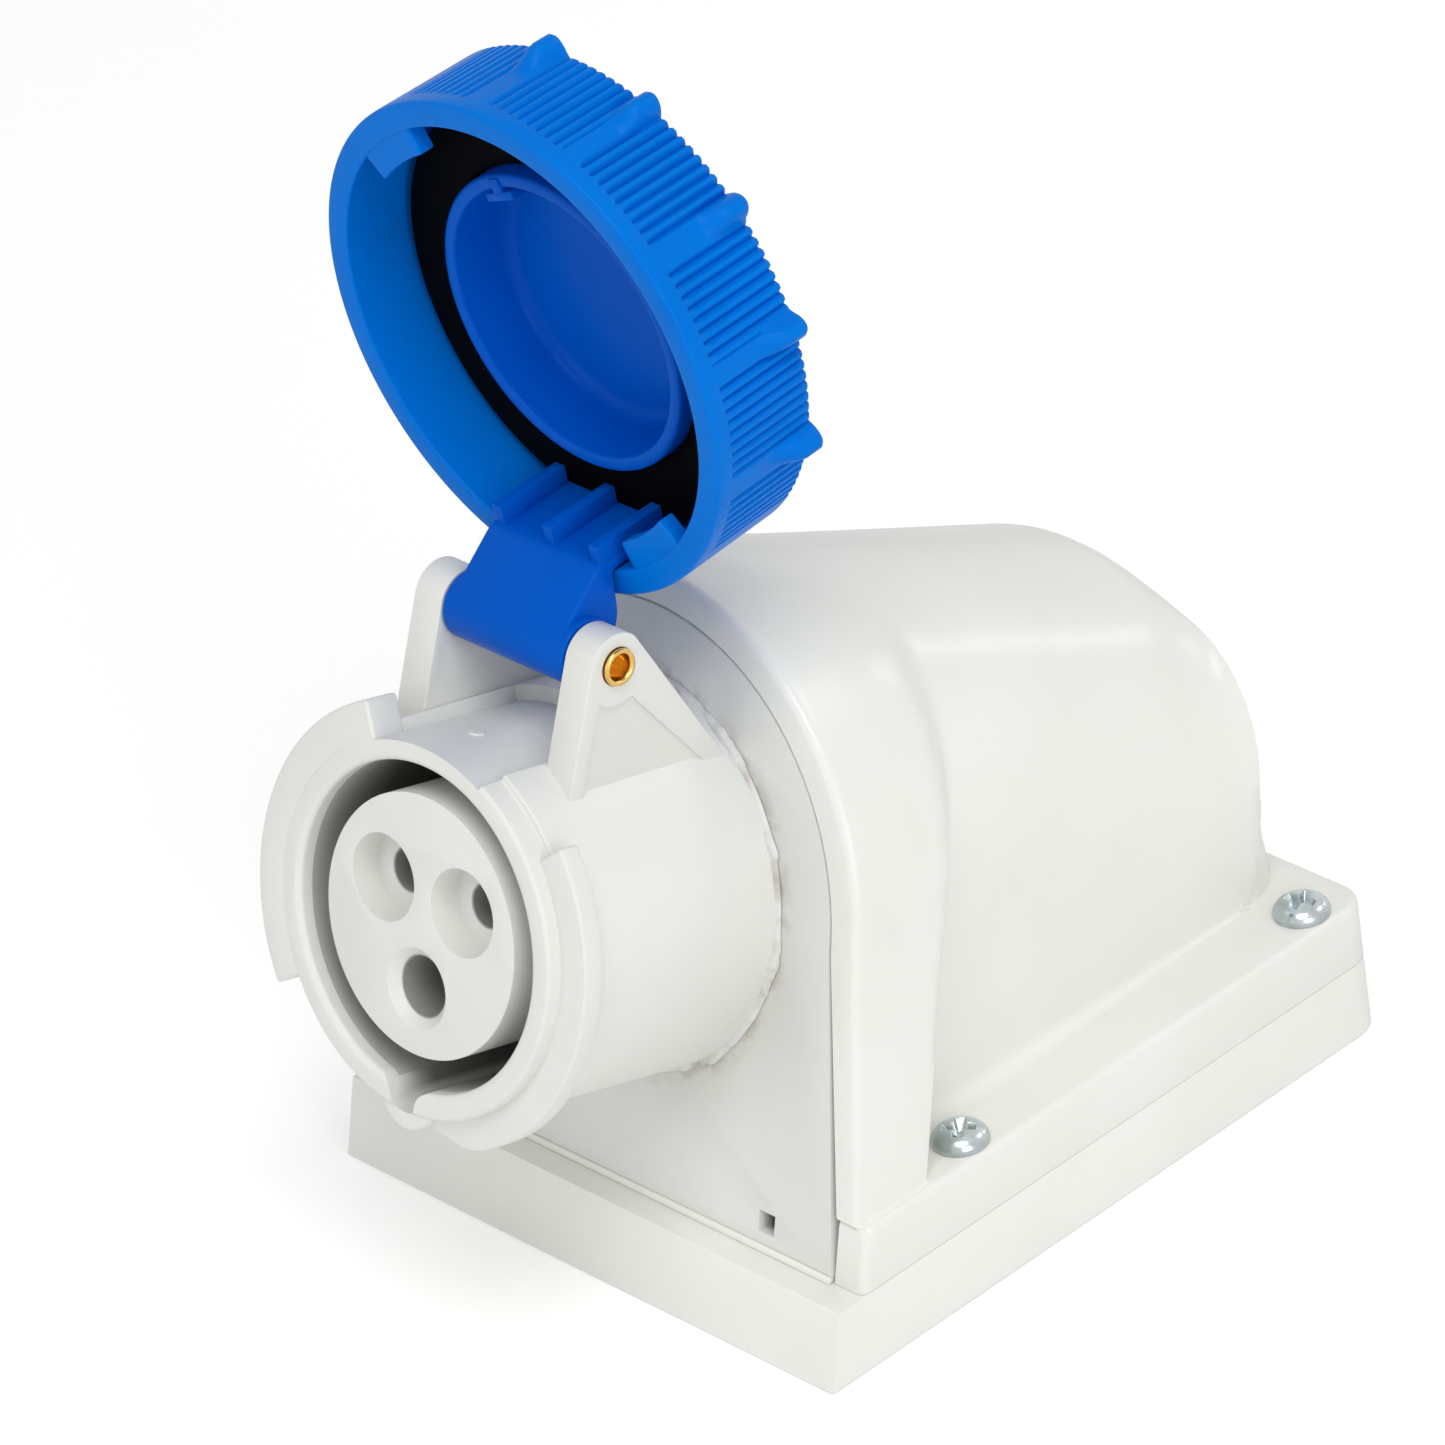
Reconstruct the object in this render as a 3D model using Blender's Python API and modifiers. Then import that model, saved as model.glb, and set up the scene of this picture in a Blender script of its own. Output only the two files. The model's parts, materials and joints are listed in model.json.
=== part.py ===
"""Wall-mounted pin-and-sleeve socket outlet with a hinged lid and a bayonet locking ring.

Metres, +Z away from the wall. The origin is the centre of the wall face, and the socket points to -Y.
The front leans back by SLANT, so the pieces of the socket are modelled in a frame of their own: its
origin is where the socket's axis meets the front plate, its Z runs out along that axis and its X is
the world's X. The lid is modelled closed, about the centre of the socket's mouth, and hangs open.
"""
from math import asin, atan2, cos, pi, radians, sin, tan

import bmesh
import bpy
from mathutils import Matrix, Vector

# General
GAP = 0.0003
ROUND_STEPS = 48
SMALL_STEPS = 20
HIDDEN_STEPS = 10
PILOT_STEPS = 6
SMOOTH_ANGLE = radians(35)

# Back box
SLANT = radians(15.5)
BOX_WIDTH = 0.0960
BOX_LENGTH = 0.1080
BOX_HEIGHT = 0.0112
BOX_FLOOR = 0.0030
BOX_SIDE_WALL = 0.0106
BOX_FRONT_WALL = 0.0088
BOX_BACK_WALL = 0.0080
BOX_CORNER = 0.0050
CAVITY_CORNER = 0.0030
FRONT_LEDGE = 0.0040

# Wall screw holes and cable entry in the floor of the box
WALL_HOLE_RADIUS = 0.0027
WALL_HOLE_FROM_SIDE = 0.0180
WALL_HOLE_FROM_FRONT = 0.0210
WALL_HOLE_FROM_BACK = 0.0160
ENTRY_RADIUS = 0.0090
ENTRY_FROM_BACK = 0.0280
GROMMET_BORE = 0.0055
GROMMET_LIP = 0.0020
GROMMET_LIP_HEIGHT = 0.0016

# Seal between box and hood
SEAL_WIDTH = 0.0016
SEAL_DEPTH = 0.0018
SEAL_PROUD = 0.00015
SEAL_SIDE_INSET = 0.0086
SEAL_FRONT_INSET = 0.0052
SEAL_BACK_INSET = 0.0058
SEAL_CORNER = 0.0030

# Hood
FLANGE_HEIGHT = 0.0090
FLANGE_SETBACK = 0.0005
HOOD_WALL = 0.0030
HOOD_FOOT_DROP = 0.0030
RIM_RADIUS = 0.0422
RIM_SIDE_INSET = 0.0015
BAND_DEPTH = 0.0210
BAND_STEP = 0.0040
BODY_SIDE_STEP = 0.0105
BODY_LEAN = 0.0013
ROOF_FALL = radians(23.5)
ROOF_BACK_RADIUS = 0.0130
HOOD_BACK_INSET = 0.0006
HOOD_BACK_CORNER = 0.0120
CORNER_DELAY = 1.8
FOOT_RUN = 0.0460
PLATE_SEAT = 0.0020
PLATE_SEAT_DEPTH = 0.0026

# Cover screws
SCREW_FROM_SIDE = 0.0048
SCREW_BEHIND_BAND = 0.00673
SCREW_FROM_BACK = 0.0090
SCREW_HEAD_RADIUS = 0.0041
SCREW_HEAD_HEIGHT = 0.0025
SCREW_SHANK_RADIUS = 0.0020
SCREW_LENGTH = 0.0150
SCREW_TIP = 0.0012
RECESS_SPAN = 0.0048
RECESS_WIDTH = 0.0011
RECESS_DEPTH = 0.0014

# Front plate
AXIS_HEIGHT = 0.0573
RIM_WIDTH = 0.0051
RIM_FOOT_WIDTH = 0.0042
PLATE_THICKNESS = 0.0030
LATCH_HOLE_SIZE = 0.0030
LATCH_HOLE_X = 0.0297
LATCH_HOLE_HEIGHT = 0.0159

# Socket barrel
BARREL_LENGTH = 0.0397
BARREL_RADIUS = 0.0276
MOUTH_RADIUS = 0.0266
MOUTH_ROUND = 0.0008
CAVITY_RADIUS = 0.0224
MOUTH_CHAMFER = 0.0006
WEB_FLOOR = 0.0020
WEB_THICKNESS = 0.0030
BARREL_FLANGE_RADIUS = 0.0320
BARREL_FLANGE_THICKNESS = 0.0030
BARREL_SEAL_THICKNESS = 0.0015
BEAD_WIDTH = 0.0014
BEAD_HEIGHT = 0.0013

# Collar arcs, keyway and tongue recess at the mouth; angles run from +X towards the hinge
COLLAR_RADIUS = 0.0305
COLLAR_SETBACK = 0.0010
COLLAR_THICKNESS = 0.0045
LEFT_ARC = (radians(113), radians(213))
RIGHT_ARC = (radians(-85), radians(38))
KEY_WIDTH = 0.0044
KEY_DEPTH = 0.0034
KEY_LENGTH = 0.0300
KEY_WALL = 0.0026
TONGUE_RECESS = (radians(65), radians(113))
TONGUE_RECESS_WALL = 0.0026
TONGUE_RECESS_LENGTH = 0.0130

# Hinge
HINGE_HEIGHT = 0.0384
HINGE_BEHIND_MOUTH = 0.0173
LID_OPEN = radians(161.3)
EAR_INNER = 0.01185
EAR_THICKNESS = 0.0052
EAR_BOSS_RADIUS = 0.0046
EAR_FRONT_FOOT = 0.0101
EAR_REAR_FOOT = 0.0024
EAR_REAR_HEIGHT = 0.0225
EAR_ROOT = 0.0195
EAR_PANEL_DEPTH = 0.0008
EAR_PANEL_STRIP = 0.0026
PIN_RADIUS = 0.0023
PIN_BORE = 0.0019
PIN_ROLL_RADIUS = 0.0029
PIN_ROLL = 0.0005

# Contact insert
INSERT_RADIUS = 0.0180
INSERT_RECESS = 0.0020
INSERT_EDGE = 0.0006
INSERT_FLANGE_THICKNESS = 0.0030
INSERT_HUB_RADIUS = 0.0170
INSERT_HUB_LENGTH = 0.0127
CONTACT_CIRCLE = 0.0088
COUNTERBORE_RADIUS = 0.0060
COUNTERBORE_DEPTH = 0.0040
LIVE_ENTRY_RADIUS = 0.0032
EARTH_ENTRY_RADIUS = 0.00435
ENTRY_LENGTH = 0.0060
LOCK_RING_WIDTH = 0.0031
LOCK_RING_THICKNESS = 0.0033

# Contacts
LIVE_PIN_RADIUS = 0.0025
EARTH_PIN_RADIUS = 0.0030
PIN_CLEARANCE = 0.00005
SLEEVE_WALL = 0.00135
SLEEVE_LENGTH = 0.0274
SLEEVE_BORE_LENGTH = 0.0260
BODY_STEP = 0.0013
SPRING_THICKNESS = 0.0006
SPRING_WIDTH = 0.0040
SPRING_SETBACK = 0.0034
SPRING_SLIT = 0.0012
TERMINAL_RADIUS = 0.0042
TERMINAL_LENGTH = 0.0130
WIRE_BORE_RADIUS = 0.0024
WIRE_BORE_DEPTH = 0.0090
CLAMP_SCREW_RADIUS = 0.0017
CLAMP_SCREW_FROM_END = 0.0050
CLAMP_SCREW_PROUD = 0.0016
CLAMP_SCREW_SLOT = 0.0006

# Contact retainer
RETAINER_RADIUS = 0.0165
RETAINER_THICKNESS = 0.0030
RETAINER_SCREW_CIRCLE = 0.0125
RETAINER_SCREW_RADIUS = 0.0013
RETAINER_SCREW_LENGTH = 0.0090
RETAINER_HEAD_RADIUS = 0.0026
RETAINER_HEAD_HEIGHT = 0.0016

# Lid cap
LID_RADIUS = 0.0314
LID_RIM_HEIGHT = 0.0013
LID_DISC_BACK = 0.0054
GASKET_SEAT = 0.0029
GASKET_OUTER = 0.0272
CUP_RADIUS = 0.0217
CUP_WALL = 0.0022
CUP_PROUD = 0.0020
CUP_FLOOR = 0.0050
CUP_FLOOR_THICKNESS = 0.0024
TONGUE_HALF = 0.0104
TONGUE_INNER = 0.0276
TONGUE_OUTER = 0.0301
TONGUE_BEND = 0.0126
TONGUE_RIB_WIDTH = 0.0013
TONGUE_RIB_HEIGHT = 0.0014
TONGUE_RIB_X = (-0.0097, -0.0016, 0.0074)
KNUCKLE_RADIUS = 0.0048

# Locking ring
RING_INNER = 0.0322
RING_OUTER = 0.0359
RING_BACK_OUTER = 0.0355
RING_REACH = 0.0093
RING_BACK = 0.0080
RING_LIP_INNER = 0.0235
RING_EDGE = 0.0006
LUG_INNER = 0.0284
LUG_HALF_ANGLE = radians(11)
LUG_THICKNESS = 0.0026
LUG_SETBACK = 0.0002
LUG_REST_ANGLE = radians(53.5)
GRIP_HEIGHT = 0.0029
GRIP_WIDTH = 0.0024
GRIP_START = 0.0035
GRIP_BACK_INSET = 0.0003
GRIPS_PER_SIDE = 5
GRIP_PITCH = radians(27.75)
GRIP_MIDDLE = radians(-37.5)

# Places worked out from the sizes above
FRONT_Y = FRONT_LEDGE - BOX_LENGTH / 2
BACK_Y = BOX_LENGTH / 2
PARTING_TOP = BOX_HEIGHT + GAP
FLANGE_TOP = PARTING_TOP + FLANGE_HEIGHT
RIM_FOOT_HALF = BOX_WIDTH / 2 - RIM_SIDE_INSET
BODY_FOOT_HALF = RIM_FOOT_HALF - BODY_SIDE_STEP
BODY_SPRING_HALF = BODY_FOOT_HALF - BODY_LEAN
PLATE_RADIUS = RIM_RADIUS - RIM_WIDTH
PLATE_FOOT_HALF = RIM_FOOT_HALF - RIM_FOOT_WIDTH
HOOD_FOOT_Z = FLANGE_TOP - HOOD_FOOT_DROP
HOOD_FOOT_FRONT = FRONT_Y + HOOD_FOOT_Z * tan(SLANT)
ROOF_FRONT = FRONT_Y + (AXIS_HEIGHT + RIM_RADIUS) * sin(SLANT)
ROOF_RUN = BACK_Y - HOOD_BACK_INSET - ROOF_BACK_RADIUS * (1 - sin(ROOF_FALL)) - ROOF_FRONT
BAND_END_Y = HOOD_FOOT_FRONT + FOOT_RUN * (BAND_DEPTH + BAND_STEP) / ROOF_RUN
SCREW_X = BOX_WIDTH / 2 - SCREW_FROM_SIDE
SCREW_FRONT_Y = BAND_END_Y + SCREW_BEHIND_BAND
SCREW_BACK_Y = BACK_Y - SCREW_FROM_BACK
WALL_HOLE_X = BOX_WIDTH / 2 - WALL_HOLE_FROM_SIDE
WALL_HOLE_FRONT_Y = WALL_HOLE_FROM_FRONT - BOX_LENGTH / 2
WALL_HOLE_BACK_Y = BACK_Y - WALL_HOLE_FROM_BACK
ENTRY_Y = BACK_Y - ENTRY_FROM_BACK
PLATE_FOOT = (PARTING_TOP + PLATE_THICKNESS * sin(SLANT)) / cos(SLANT) - AXIS_HEIGHT
EAR_OUTER = EAR_INNER + EAR_THICKNESS
HINGE_Z = BARREL_LENGTH - HINGE_BEHIND_MOUTH
HINGE_HOLE = PIN_RADIUS + GAP
INSERT_FACE = BARREL_LENGTH - INSERT_RECESS
INSERT_FLANGE_TOP = WEB_FLOOR - GAP
INSERT_FLANGE_BACK = INSERT_FLANGE_TOP - INSERT_FLANGE_THICKNESS
INSERT_BACK = INSERT_FLANGE_BACK - INSERT_HUB_LENGTH
CHAMBER_TOP = INSERT_FACE - ENTRY_LENGTH
SLEEVE_TOP = CHAMBER_TOP - GAP
BODY_TOP = SLEEVE_TOP - SLEEVE_LENGTH
RETAINER_TOP = INSERT_BACK - GAP
TERMINAL_END = INSERT_BACK - TERMINAL_LENGTH
RING_FRONT = -RING_REACH
CAVITY_EDGE = MOUTH_CHAMFER + CAVITY_RADIUS
LIVE_SLEEVE = LIVE_PIN_RADIUS + PIN_CLEARANCE + SLEEVE_WALL
EARTH_SLEEVE = EARTH_PIN_RADIUS + PIN_CLEARANCE + SLEEVE_WALL
SIDE_VIEW = Matrix(((0, 0, 1, 0), (1, 0, 0, 0), (0, 1, 0, 0), (0, 0, 0, 1)))
ALONG_X = Matrix.Rotation(pi / 2, 4, "Y")

CONTACTS = {
    "line": (radians(150), LIVE_PIN_RADIUS, LIVE_SLEEVE, LIVE_ENTRY_RADIUS, True),
    "neutral": (radians(30), LIVE_PIN_RADIUS, LIVE_SLEEVE, LIVE_ENTRY_RADIUS, True),
    "earth": (radians(270), EARTH_PIN_RADIUS, EARTH_SLEEVE, EARTH_ENTRY_RADIUS, False),
}
RETAINER_SCREW_ANGLES = (radians(90), radians(210), radians(330))

for old in list(bpy.data.objects):
    bpy.data.objects.remove(old, do_unlink=True)
PARTS = bpy.data.collections.new("socket_outlet")
CUTTERS = bpy.data.collections.new("cutters")
for group in (PARTS, CUTTERS):
    bpy.context.scene.collection.children.link(group)


def material(name, colour, roughness, metallic=0.0):
    made = bpy.data.materials.new(name)
    made.use_nodes = True
    shader = made.node_tree.nodes["Principled BSDF"]
    shader.inputs["Base Color"].default_value = (*colour, 1.0)
    shader.inputs["Roughness"].default_value = roughness
    shader.inputs["Metallic"].default_value = metallic
    return made


WHITE = material("housing_white", (0.83, 0.84, 0.80), 0.35)
GREY = material("socket_grey", (0.72, 0.74, 0.71), 0.40)
BLUE = material("lid_blue", (0.0, 0.14, 0.60), 0.35)
RUBBER = material("black_rubber", (0.012, 0.012, 0.012), 0.75)
BRASS = material("brass", (0.78, 0.56, 0.22), 0.30, 1.0)
ZINC = material("zinc_steel", (0.66, 0.70, 0.74), 0.30, 1.0)
SEALANT = material("joint_sealant", (0.80, 0.80, 0.76), 0.55)


# Mesh builders

def empty(name, location, rotation, parent=None):
    frame = bpy.data.objects.new(name, None)
    frame.location = location
    frame.rotation_euler = rotation
    frame.parent = parent
    PARTS.objects.link(frame)
    return frame


def evaluated_mesh(temporary):
    """Turn a temporary object into a plain mesh with its seams welded, and remove the object."""
    CUTTERS.objects.link(temporary)
    graph = bpy.context.evaluated_depsgraph_get()
    mesh = bpy.data.meshes.new_from_object(temporary.evaluated_get(graph))
    bpy.data.objects.remove(temporary, do_unlink=True)
    bm = bmesh.new()
    bm.from_mesh(mesh)
    bmesh.ops.remove_doubles(bm, verts=bm.verts, dist=1e-7)
    return closed_mesh(bm, mesh)


def closed_mesh(bm, mesh=None):
    bmesh.ops.recalc_face_normals(bm, faces=bm.faces)
    mesh = mesh or bpy.data.meshes.new("solid")
    bm.to_mesh(mesh)
    bm.free()
    return mesh


def prism(outline, low, high, turn=None):
    """A flat outline pulled from low to high along Z, then turned by a matrix."""
    curve = bpy.data.curves.new("outline", "CURVE")
    curve.dimensions = "2D"
    curve.fill_mode = "BOTH"
    curve.extrude = (high - low) / 2
    spline = curve.splines.new("POLY")
    spline.points.add(len(outline) - 1)
    for point, (x, y) in zip(spline.points, outline):
        point.co = (x, y, 0.0, 1.0)
    spline.use_cyclic_u = True
    mesh = evaluated_mesh(bpy.data.objects.new("outline", curve))
    mesh.transform(Matrix.Translation((0, 0, (low + high) / 2)))
    if turn:
        mesh.transform(turn)
    return mesh


def turned(profile, steps=ROUND_STEPS, ring=True):
    """A profile of (radius, z) points turned about Z; a ring's profile is a closed loop."""
    mesh = bpy.data.meshes.new("profile")
    count = len(profile)
    edges = [(i, (i + 1) % count) for i in range(count if ring else count - 1)]
    mesh.from_pydata([(r, 0.0, z) for r, z in profile], edges, [])
    holder = bpy.data.objects.new("profile", mesh)
    screw = holder.modifiers.new("turn", "SCREW")
    screw.steps = steps
    screw.render_steps = steps
    screw.use_merge_vertices = True
    screw.merge_threshold = 1e-6
    return evaluated_mesh(holder)


def box(low, high, turn=None):
    bm = bmesh.new()
    middle = (Vector(low) + Vector(high)) / 2
    size = Vector(high) - Vector(low)
    bmesh.ops.create_cube(bm, size=1.0, matrix=Matrix.Translation(middle) @ Matrix.Diagonal((*size, 1.0)))
    mesh = closed_mesh(bm)
    if turn:
        mesh.transform(turn)
    return mesh


def rod(radius, low, high, turn=None, steps=SMALL_STEPS):
    bm = bmesh.new()
    bmesh.ops.create_cone(bm, cap_ends=True, segments=steps, radius1=radius, radius2=radius, depth=high - low,
                          matrix=Matrix.Translation((0, 0, (low + high) / 2)))
    mesh = closed_mesh(bm)
    if turn:
        mesh.transform(turn)
    return mesh


def slanted_slab(half_width, front_y, back_y, low, high, corner):
    """A slab whose front face leans back by SLANT and whose upright back corners are rounded."""
    bm = bmesh.new()
    bmesh.ops.create_cube(bm, size=2.0)
    for vert in bm.verts:
        z = high if vert.co.z > 0 else low
        y = back_y if vert.co.y > 0 else front_y + z * tan(SLANT)
        vert.co = (half_width * vert.co.x, y, z)
    upright = [e for e in bm.edges if all(v.co.y == e.verts[0].co.y and v.co.y > 0 for v in e.verts)
               and e.verts[0].co.x == e.verts[1].co.x]
    bmesh.ops.bevel(bm, geom=upright, offset=corner, segments=6, profile=0.5, affect="EDGES")
    return closed_mesh(bm)


def arc(centre, radius, start, end, steps):
    x, y = centre
    angles = [start + (end - start) * i / steps for i in range(steps + 1)]
    return [(x + radius * cos(a), y + radius * sin(a)) for a in angles]


def rounded_rectangle(half_x, low_y, high_y, radius, steps=4):
    corners = ((half_x, high_y, 0), (-half_x, high_y, 90), (-half_x, low_y, 180), (half_x, low_y, 270))
    points = []
    for x, y, turn in corners:
        centre = (x - radius if x > 0 else x + radius, y - radius if y == high_y else y + radius)
        points += arc(centre, radius, radians(turn), radians(turn + 90), steps)
    return points


def sector(inner, outer, start, end, steps):
    return arc((0, 0), outer, start, end, steps) + arc((0, 0), inner, end, start, steps)


def d_outline(margin, foot):
    """The front plate's outline: an arch about the socket axis on legs that spread towards the foot."""
    spread = (PLATE_FOOT_HALF - PLATE_RADIUS) / -PLATE_FOOT
    half = PLATE_RADIUS - foot * spread + margin
    return [(half, foot)] + arc((0, 0), PLATE_RADIUS + margin, 0, pi, 36) + [(-half, foot)]


# Scene objects

def place(name, mesh, finish, parent=None, location=(0, 0, 0)):
    mesh.name = name
    mesh.shade_smooth()
    mesh.set_sharp_from_angle(angle=SMOOTH_ANGLE)
    mesh.materials.clear()
    mesh.materials.append(finish)
    piece = bpy.data.objects.new(name, mesh)
    piece.location = location
    piece.parent = parent
    PARTS.objects.link(piece)
    return piece


def combine(piece, mesh, operation, parent="same", location=(0, 0, 0)):
    """Cut, join or intersect a piece with a helper solid given in the piece's own frame."""
    helper = bpy.data.objects.new(piece.name + "_" + operation.lower(), mesh)
    helper.hide_render = True
    helper.display_type = "WIRE"
    helper.parent = piece.parent if parent == "same" else parent
    helper.location = Vector(piece.location) + Vector(location) if parent == "same" else location
    CUTTERS.objects.link(helper)
    step = piece.modifiers.new(operation.lower(), "BOOLEAN")
    step.operation = operation
    step.object = helper
    step.solver = "EXACT"
    return helper


def cut(piece, mesh, **options):
    return combine(piece, mesh, "DIFFERENCE", **options)


def join(piece, mesh, **options):
    return combine(piece, mesh, "UNION", **options)


SOCKET = empty("socket_frame",
               (0, FRONT_Y + AXIS_HEIGHT * sin(SLANT), AXIS_HEIGHT * cos(SLANT)),
               (pi / 2 - SLANT, 0, 0))
HINGE = empty("lid_hinge", (0, HINGE_HEIGHT, HINGE_Z), (-LID_OPEN, 0, 0), SOCKET)
MOUTH_FROM_HINGE = (0, -HINGE_HEIGHT, HINGE_BEHIND_MOUTH)
RING_AXIS = empty("ring_axis", MOUTH_FROM_HINGE, (0, 0, 0), HINGE)


# Housing

def seal_outline(offset):
    return rounded_rectangle(BOX_WIDTH / 2 - SEAL_SIDE_INSET + offset,
                             FRONT_Y + SEAL_FRONT_INSET - offset,
                             BACK_Y - SEAL_BACK_INSET + offset,
                             SEAL_CORNER + offset)


def screw_places():
    return [(side * SCREW_X, y) for y in (SCREW_FRONT_Y, SCREW_BACK_Y) for side in (1, -1)]


def make_back_box():
    half = BOX_WIDTH / 2
    base = place("back_box", slanted_slab(half, -BOX_LENGTH / 2, BACK_Y, 0, BOX_HEIGHT, BOX_CORNER), WHITE)
    cavity = rounded_rectangle(half - BOX_SIDE_WALL, FRONT_Y + BOX_FRONT_WALL, BACK_Y - BOX_BACK_WALL,
                               CAVITY_CORNER)
    cut(base, prism(cavity, BOX_FLOOR, BOX_HEIGHT + BOX_FLOOR))
    groove = BOX_HEIGHT - SEAL_DEPTH - GAP
    ring = prism(seal_outline(SEAL_WIDTH / 2 + GAP), groove, BOX_HEIGHT + BOX_FLOOR)
    core = prism(seal_outline(-SEAL_WIDTH / 2 - GAP), 0, BOX_HEIGHT + 2 * BOX_FLOOR)
    cut(combine(base, ring, "DIFFERENCE"), core)
    bore = SCREW_SHANK_RADIUS + GAP
    for x, y in screw_places():
        cut(base, rod(bore, BOX_FLOOR, BOX_HEIGHT + BOX_FLOOR), location=(x, y, 0))
    for x in (-WALL_HOLE_X, WALL_HOLE_X):
        for y in (WALL_HOLE_FRONT_Y, WALL_HOLE_BACK_Y):
            cut(base, rod(WALL_HOLE_RADIUS, -BOX_FLOOR, 2 * BOX_FLOOR), location=(x, y, 0))
    cut(base, rod(ENTRY_RADIUS, -BOX_FLOOR, 2 * BOX_FLOOR, steps=ROUND_STEPS), location=(0, ENTRY_Y, 0))


def make_base_seal():
    low = BOX_HEIGHT - SEAL_DEPTH
    high = BOX_HEIGHT + SEAL_PROUD
    seal = place("base_seal", prism(seal_outline(SEAL_WIDTH / 2), low, high), RUBBER)
    cut(seal, prism(seal_outline(-SEAL_WIDTH / 2), low - BOX_FLOOR, high + BOX_FLOOR))


def make_cable_grommet():
    plug = ENTRY_RADIUS - GAP
    lip = ENTRY_RADIUS + GROMMET_LIP
    seat = BOX_FLOOR + GAP
    top = seat + GROMMET_LIP_HEIGHT
    profile = [(GROMMET_BORE, GAP), (GROMMET_BORE, top), (lip, top), (lip, seat), (plug, seat), (plug, GAP)]
    place("cable_grommet", turned(profile), RUBBER, location=(0, ENTRY_Y, 0))


def hood_section(foot_y, top_y, top_z, foot_half, spring_half, radius, foot_z):
    """An arch in the plane through a foot line and a roof point, from the right foot to the left."""
    rise = Vector((0, top_y - foot_y, top_z - foot_z))
    height = rise.length
    rise.normalize()
    radius = min(radius, spring_half, height - GAP)
    leg = [(foot_half, 0.0), ((foot_half + spring_half) / 2, (height - radius) / 2)]
    half = leg + arc((spring_half - radius, height - radius), radius, 0, pi / 2, 10)
    if radius == spring_half:
        half.pop()
        half.append((0.0, height))
        other = half[:-1]
    else:
        other = half
    outline = half + [(-across, up) for across, up in reversed(other)]
    foot = Vector((0, foot_y, foot_z))
    return [foot + Vector((across, 0, 0)) + rise * up for across, up in outline]


def hood_sections(inset, start):
    """Sections from the front rim to the back of the hood, drawn in by inset all round."""
    foot_z = HOOD_FOOT_Z
    crown = AXIS_HEIGHT + RIM_RADIUS - inset
    front_y = FRONT_Y + crown * sin(SLANT)
    front_z = crown * cos(SLANT)
    back_y = BACK_Y - HOOD_BACK_INSET - inset
    bend = ROOF_BACK_RADIUS - inset
    bend_y = back_y - bend
    bend_z = front_z - (bend_y - front_y) * tan(ROOF_FALL) - bend / cos(ROOF_FALL)
    run = bend_y + bend * sin(ROOF_FALL) - front_y
    foot_front = HOOD_FOOT_FRONT
    foot_mid = foot_front + FOOT_RUN
    foot_back = BACK_Y - HOOD_BACK_INSET - HOOD_BACK_CORNER + GAP

    rim = RIM_RADIUS - inset
    spring = BODY_SPRING_HALF - inset
    body = BODY_FOOT_HALF - inset
    corner = HOOD_BACK_CORNER - inset
    sections = []

    def roof(along, foot_half, spring_half):
        share = along / run
        sections.append(hood_section(foot_front + FOOT_RUN * share, front_y + along,
                                     front_z - along * tan(ROOF_FALL), foot_half, spring_half, spring_half,
                                     foot_z))

    band = BAND_DEPTH - inset
    straight = band + BAND_STEP
    roof(start, RIM_FOOT_HALF - inset, rim)
    roof(band, RIM_FOOT_HALF - inset, rim)
    for share in (0.0, 0.5, 1.0):
        roof(straight + (run - straight) * share, body, spring)
    # Round the bend the arch flattens into a back wall with two corners, slowly at first.
    bend_steps = 9
    for step in range(1, bend_steps + 3):
        share = step / (bend_steps + 2)
        turn = min(step / bend_steps, 1.0)
        angle = (pi / 2 - ROOF_FALL) * (1 - turn)
        drop = (bend_z - foot_z) * max(step - bend_steps, 0) / 2
        sections.append(hood_section(foot_mid + (foot_back - foot_mid) * turn,
                                     bend_y + bend * cos(angle), bend_z + bend * sin(angle) - drop,
                                     body, spring + (body - spring) * share,
                                     spring + (corner - spring) * share ** CORNER_DELAY, foot_z))
    return sections


def loft(sections):
    """A closed solid through arches that all stand on one plane and may differ in point count by one."""
    bm = bmesh.new()
    rows = []
    size = max(len(points) for points in sections)
    for points in sections:
        middle = len(points) // 2
        doubled = points if len(points) == size else points[:middle] + [points[middle]] + points[middle:]
        rows.append([bm.verts.new(point) for point in doubled])
    for before, after in zip(rows, rows[1:]):
        for i in range(size):
            j = (i + 1) % size
            bm.faces.new((before[i], before[j], after[j], after[i]))
    bm.faces.new(rows[0])
    bm.faces.new(rows[-1])
    bmesh.ops.remove_doubles(bm, verts=bm.verts, dist=1e-6)
    return closed_mesh(bm)


def make_hood():
    hood = place("hood", loft(hood_sections(0.0, 0.0)), WHITE)
    join(hood, slanted_slab(BOX_WIDTH / 2, FRONT_Y + FLANGE_SETBACK, BACK_Y, PARTING_TOP, FLANGE_TOP,
                            BOX_CORNER))
    seat_back = PLATE_THICKNESS + GAP + PLATE_SEAT_DEPTH
    cut(hood, loft(hood_sections(HOOD_WALL, seat_back)))
    foot = rounded_rectangle(BODY_FOOT_HALF - HOOD_WALL + GAP, FRONT_Y + BOX_FRONT_WALL,
                             BACK_Y - HOOD_BACK_INSET - HOOD_WALL - GAP, HOOD_BACK_CORNER - HOOD_WALL)
    cut(hood, prism(foot, 0, FLANGE_TOP - HOOD_FOOT_DROP / 2))
    below = -AXIS_HEIGHT
    cut(hood, prism(d_outline(GAP, below), -PLATE_THICKNESS - GAP, PLATE_THICKNESS), parent=SOCKET)
    cut(hood, prism(d_outline(-PLATE_SEAT, below), -2 * seat_back, 0), parent=SOCKET)
    for x, y in screw_places():
        cut(hood, rod(SCREW_SHANK_RADIUS + GAP, 0, FLANGE_TOP + GAP), location=(x, y, 0))


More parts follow.
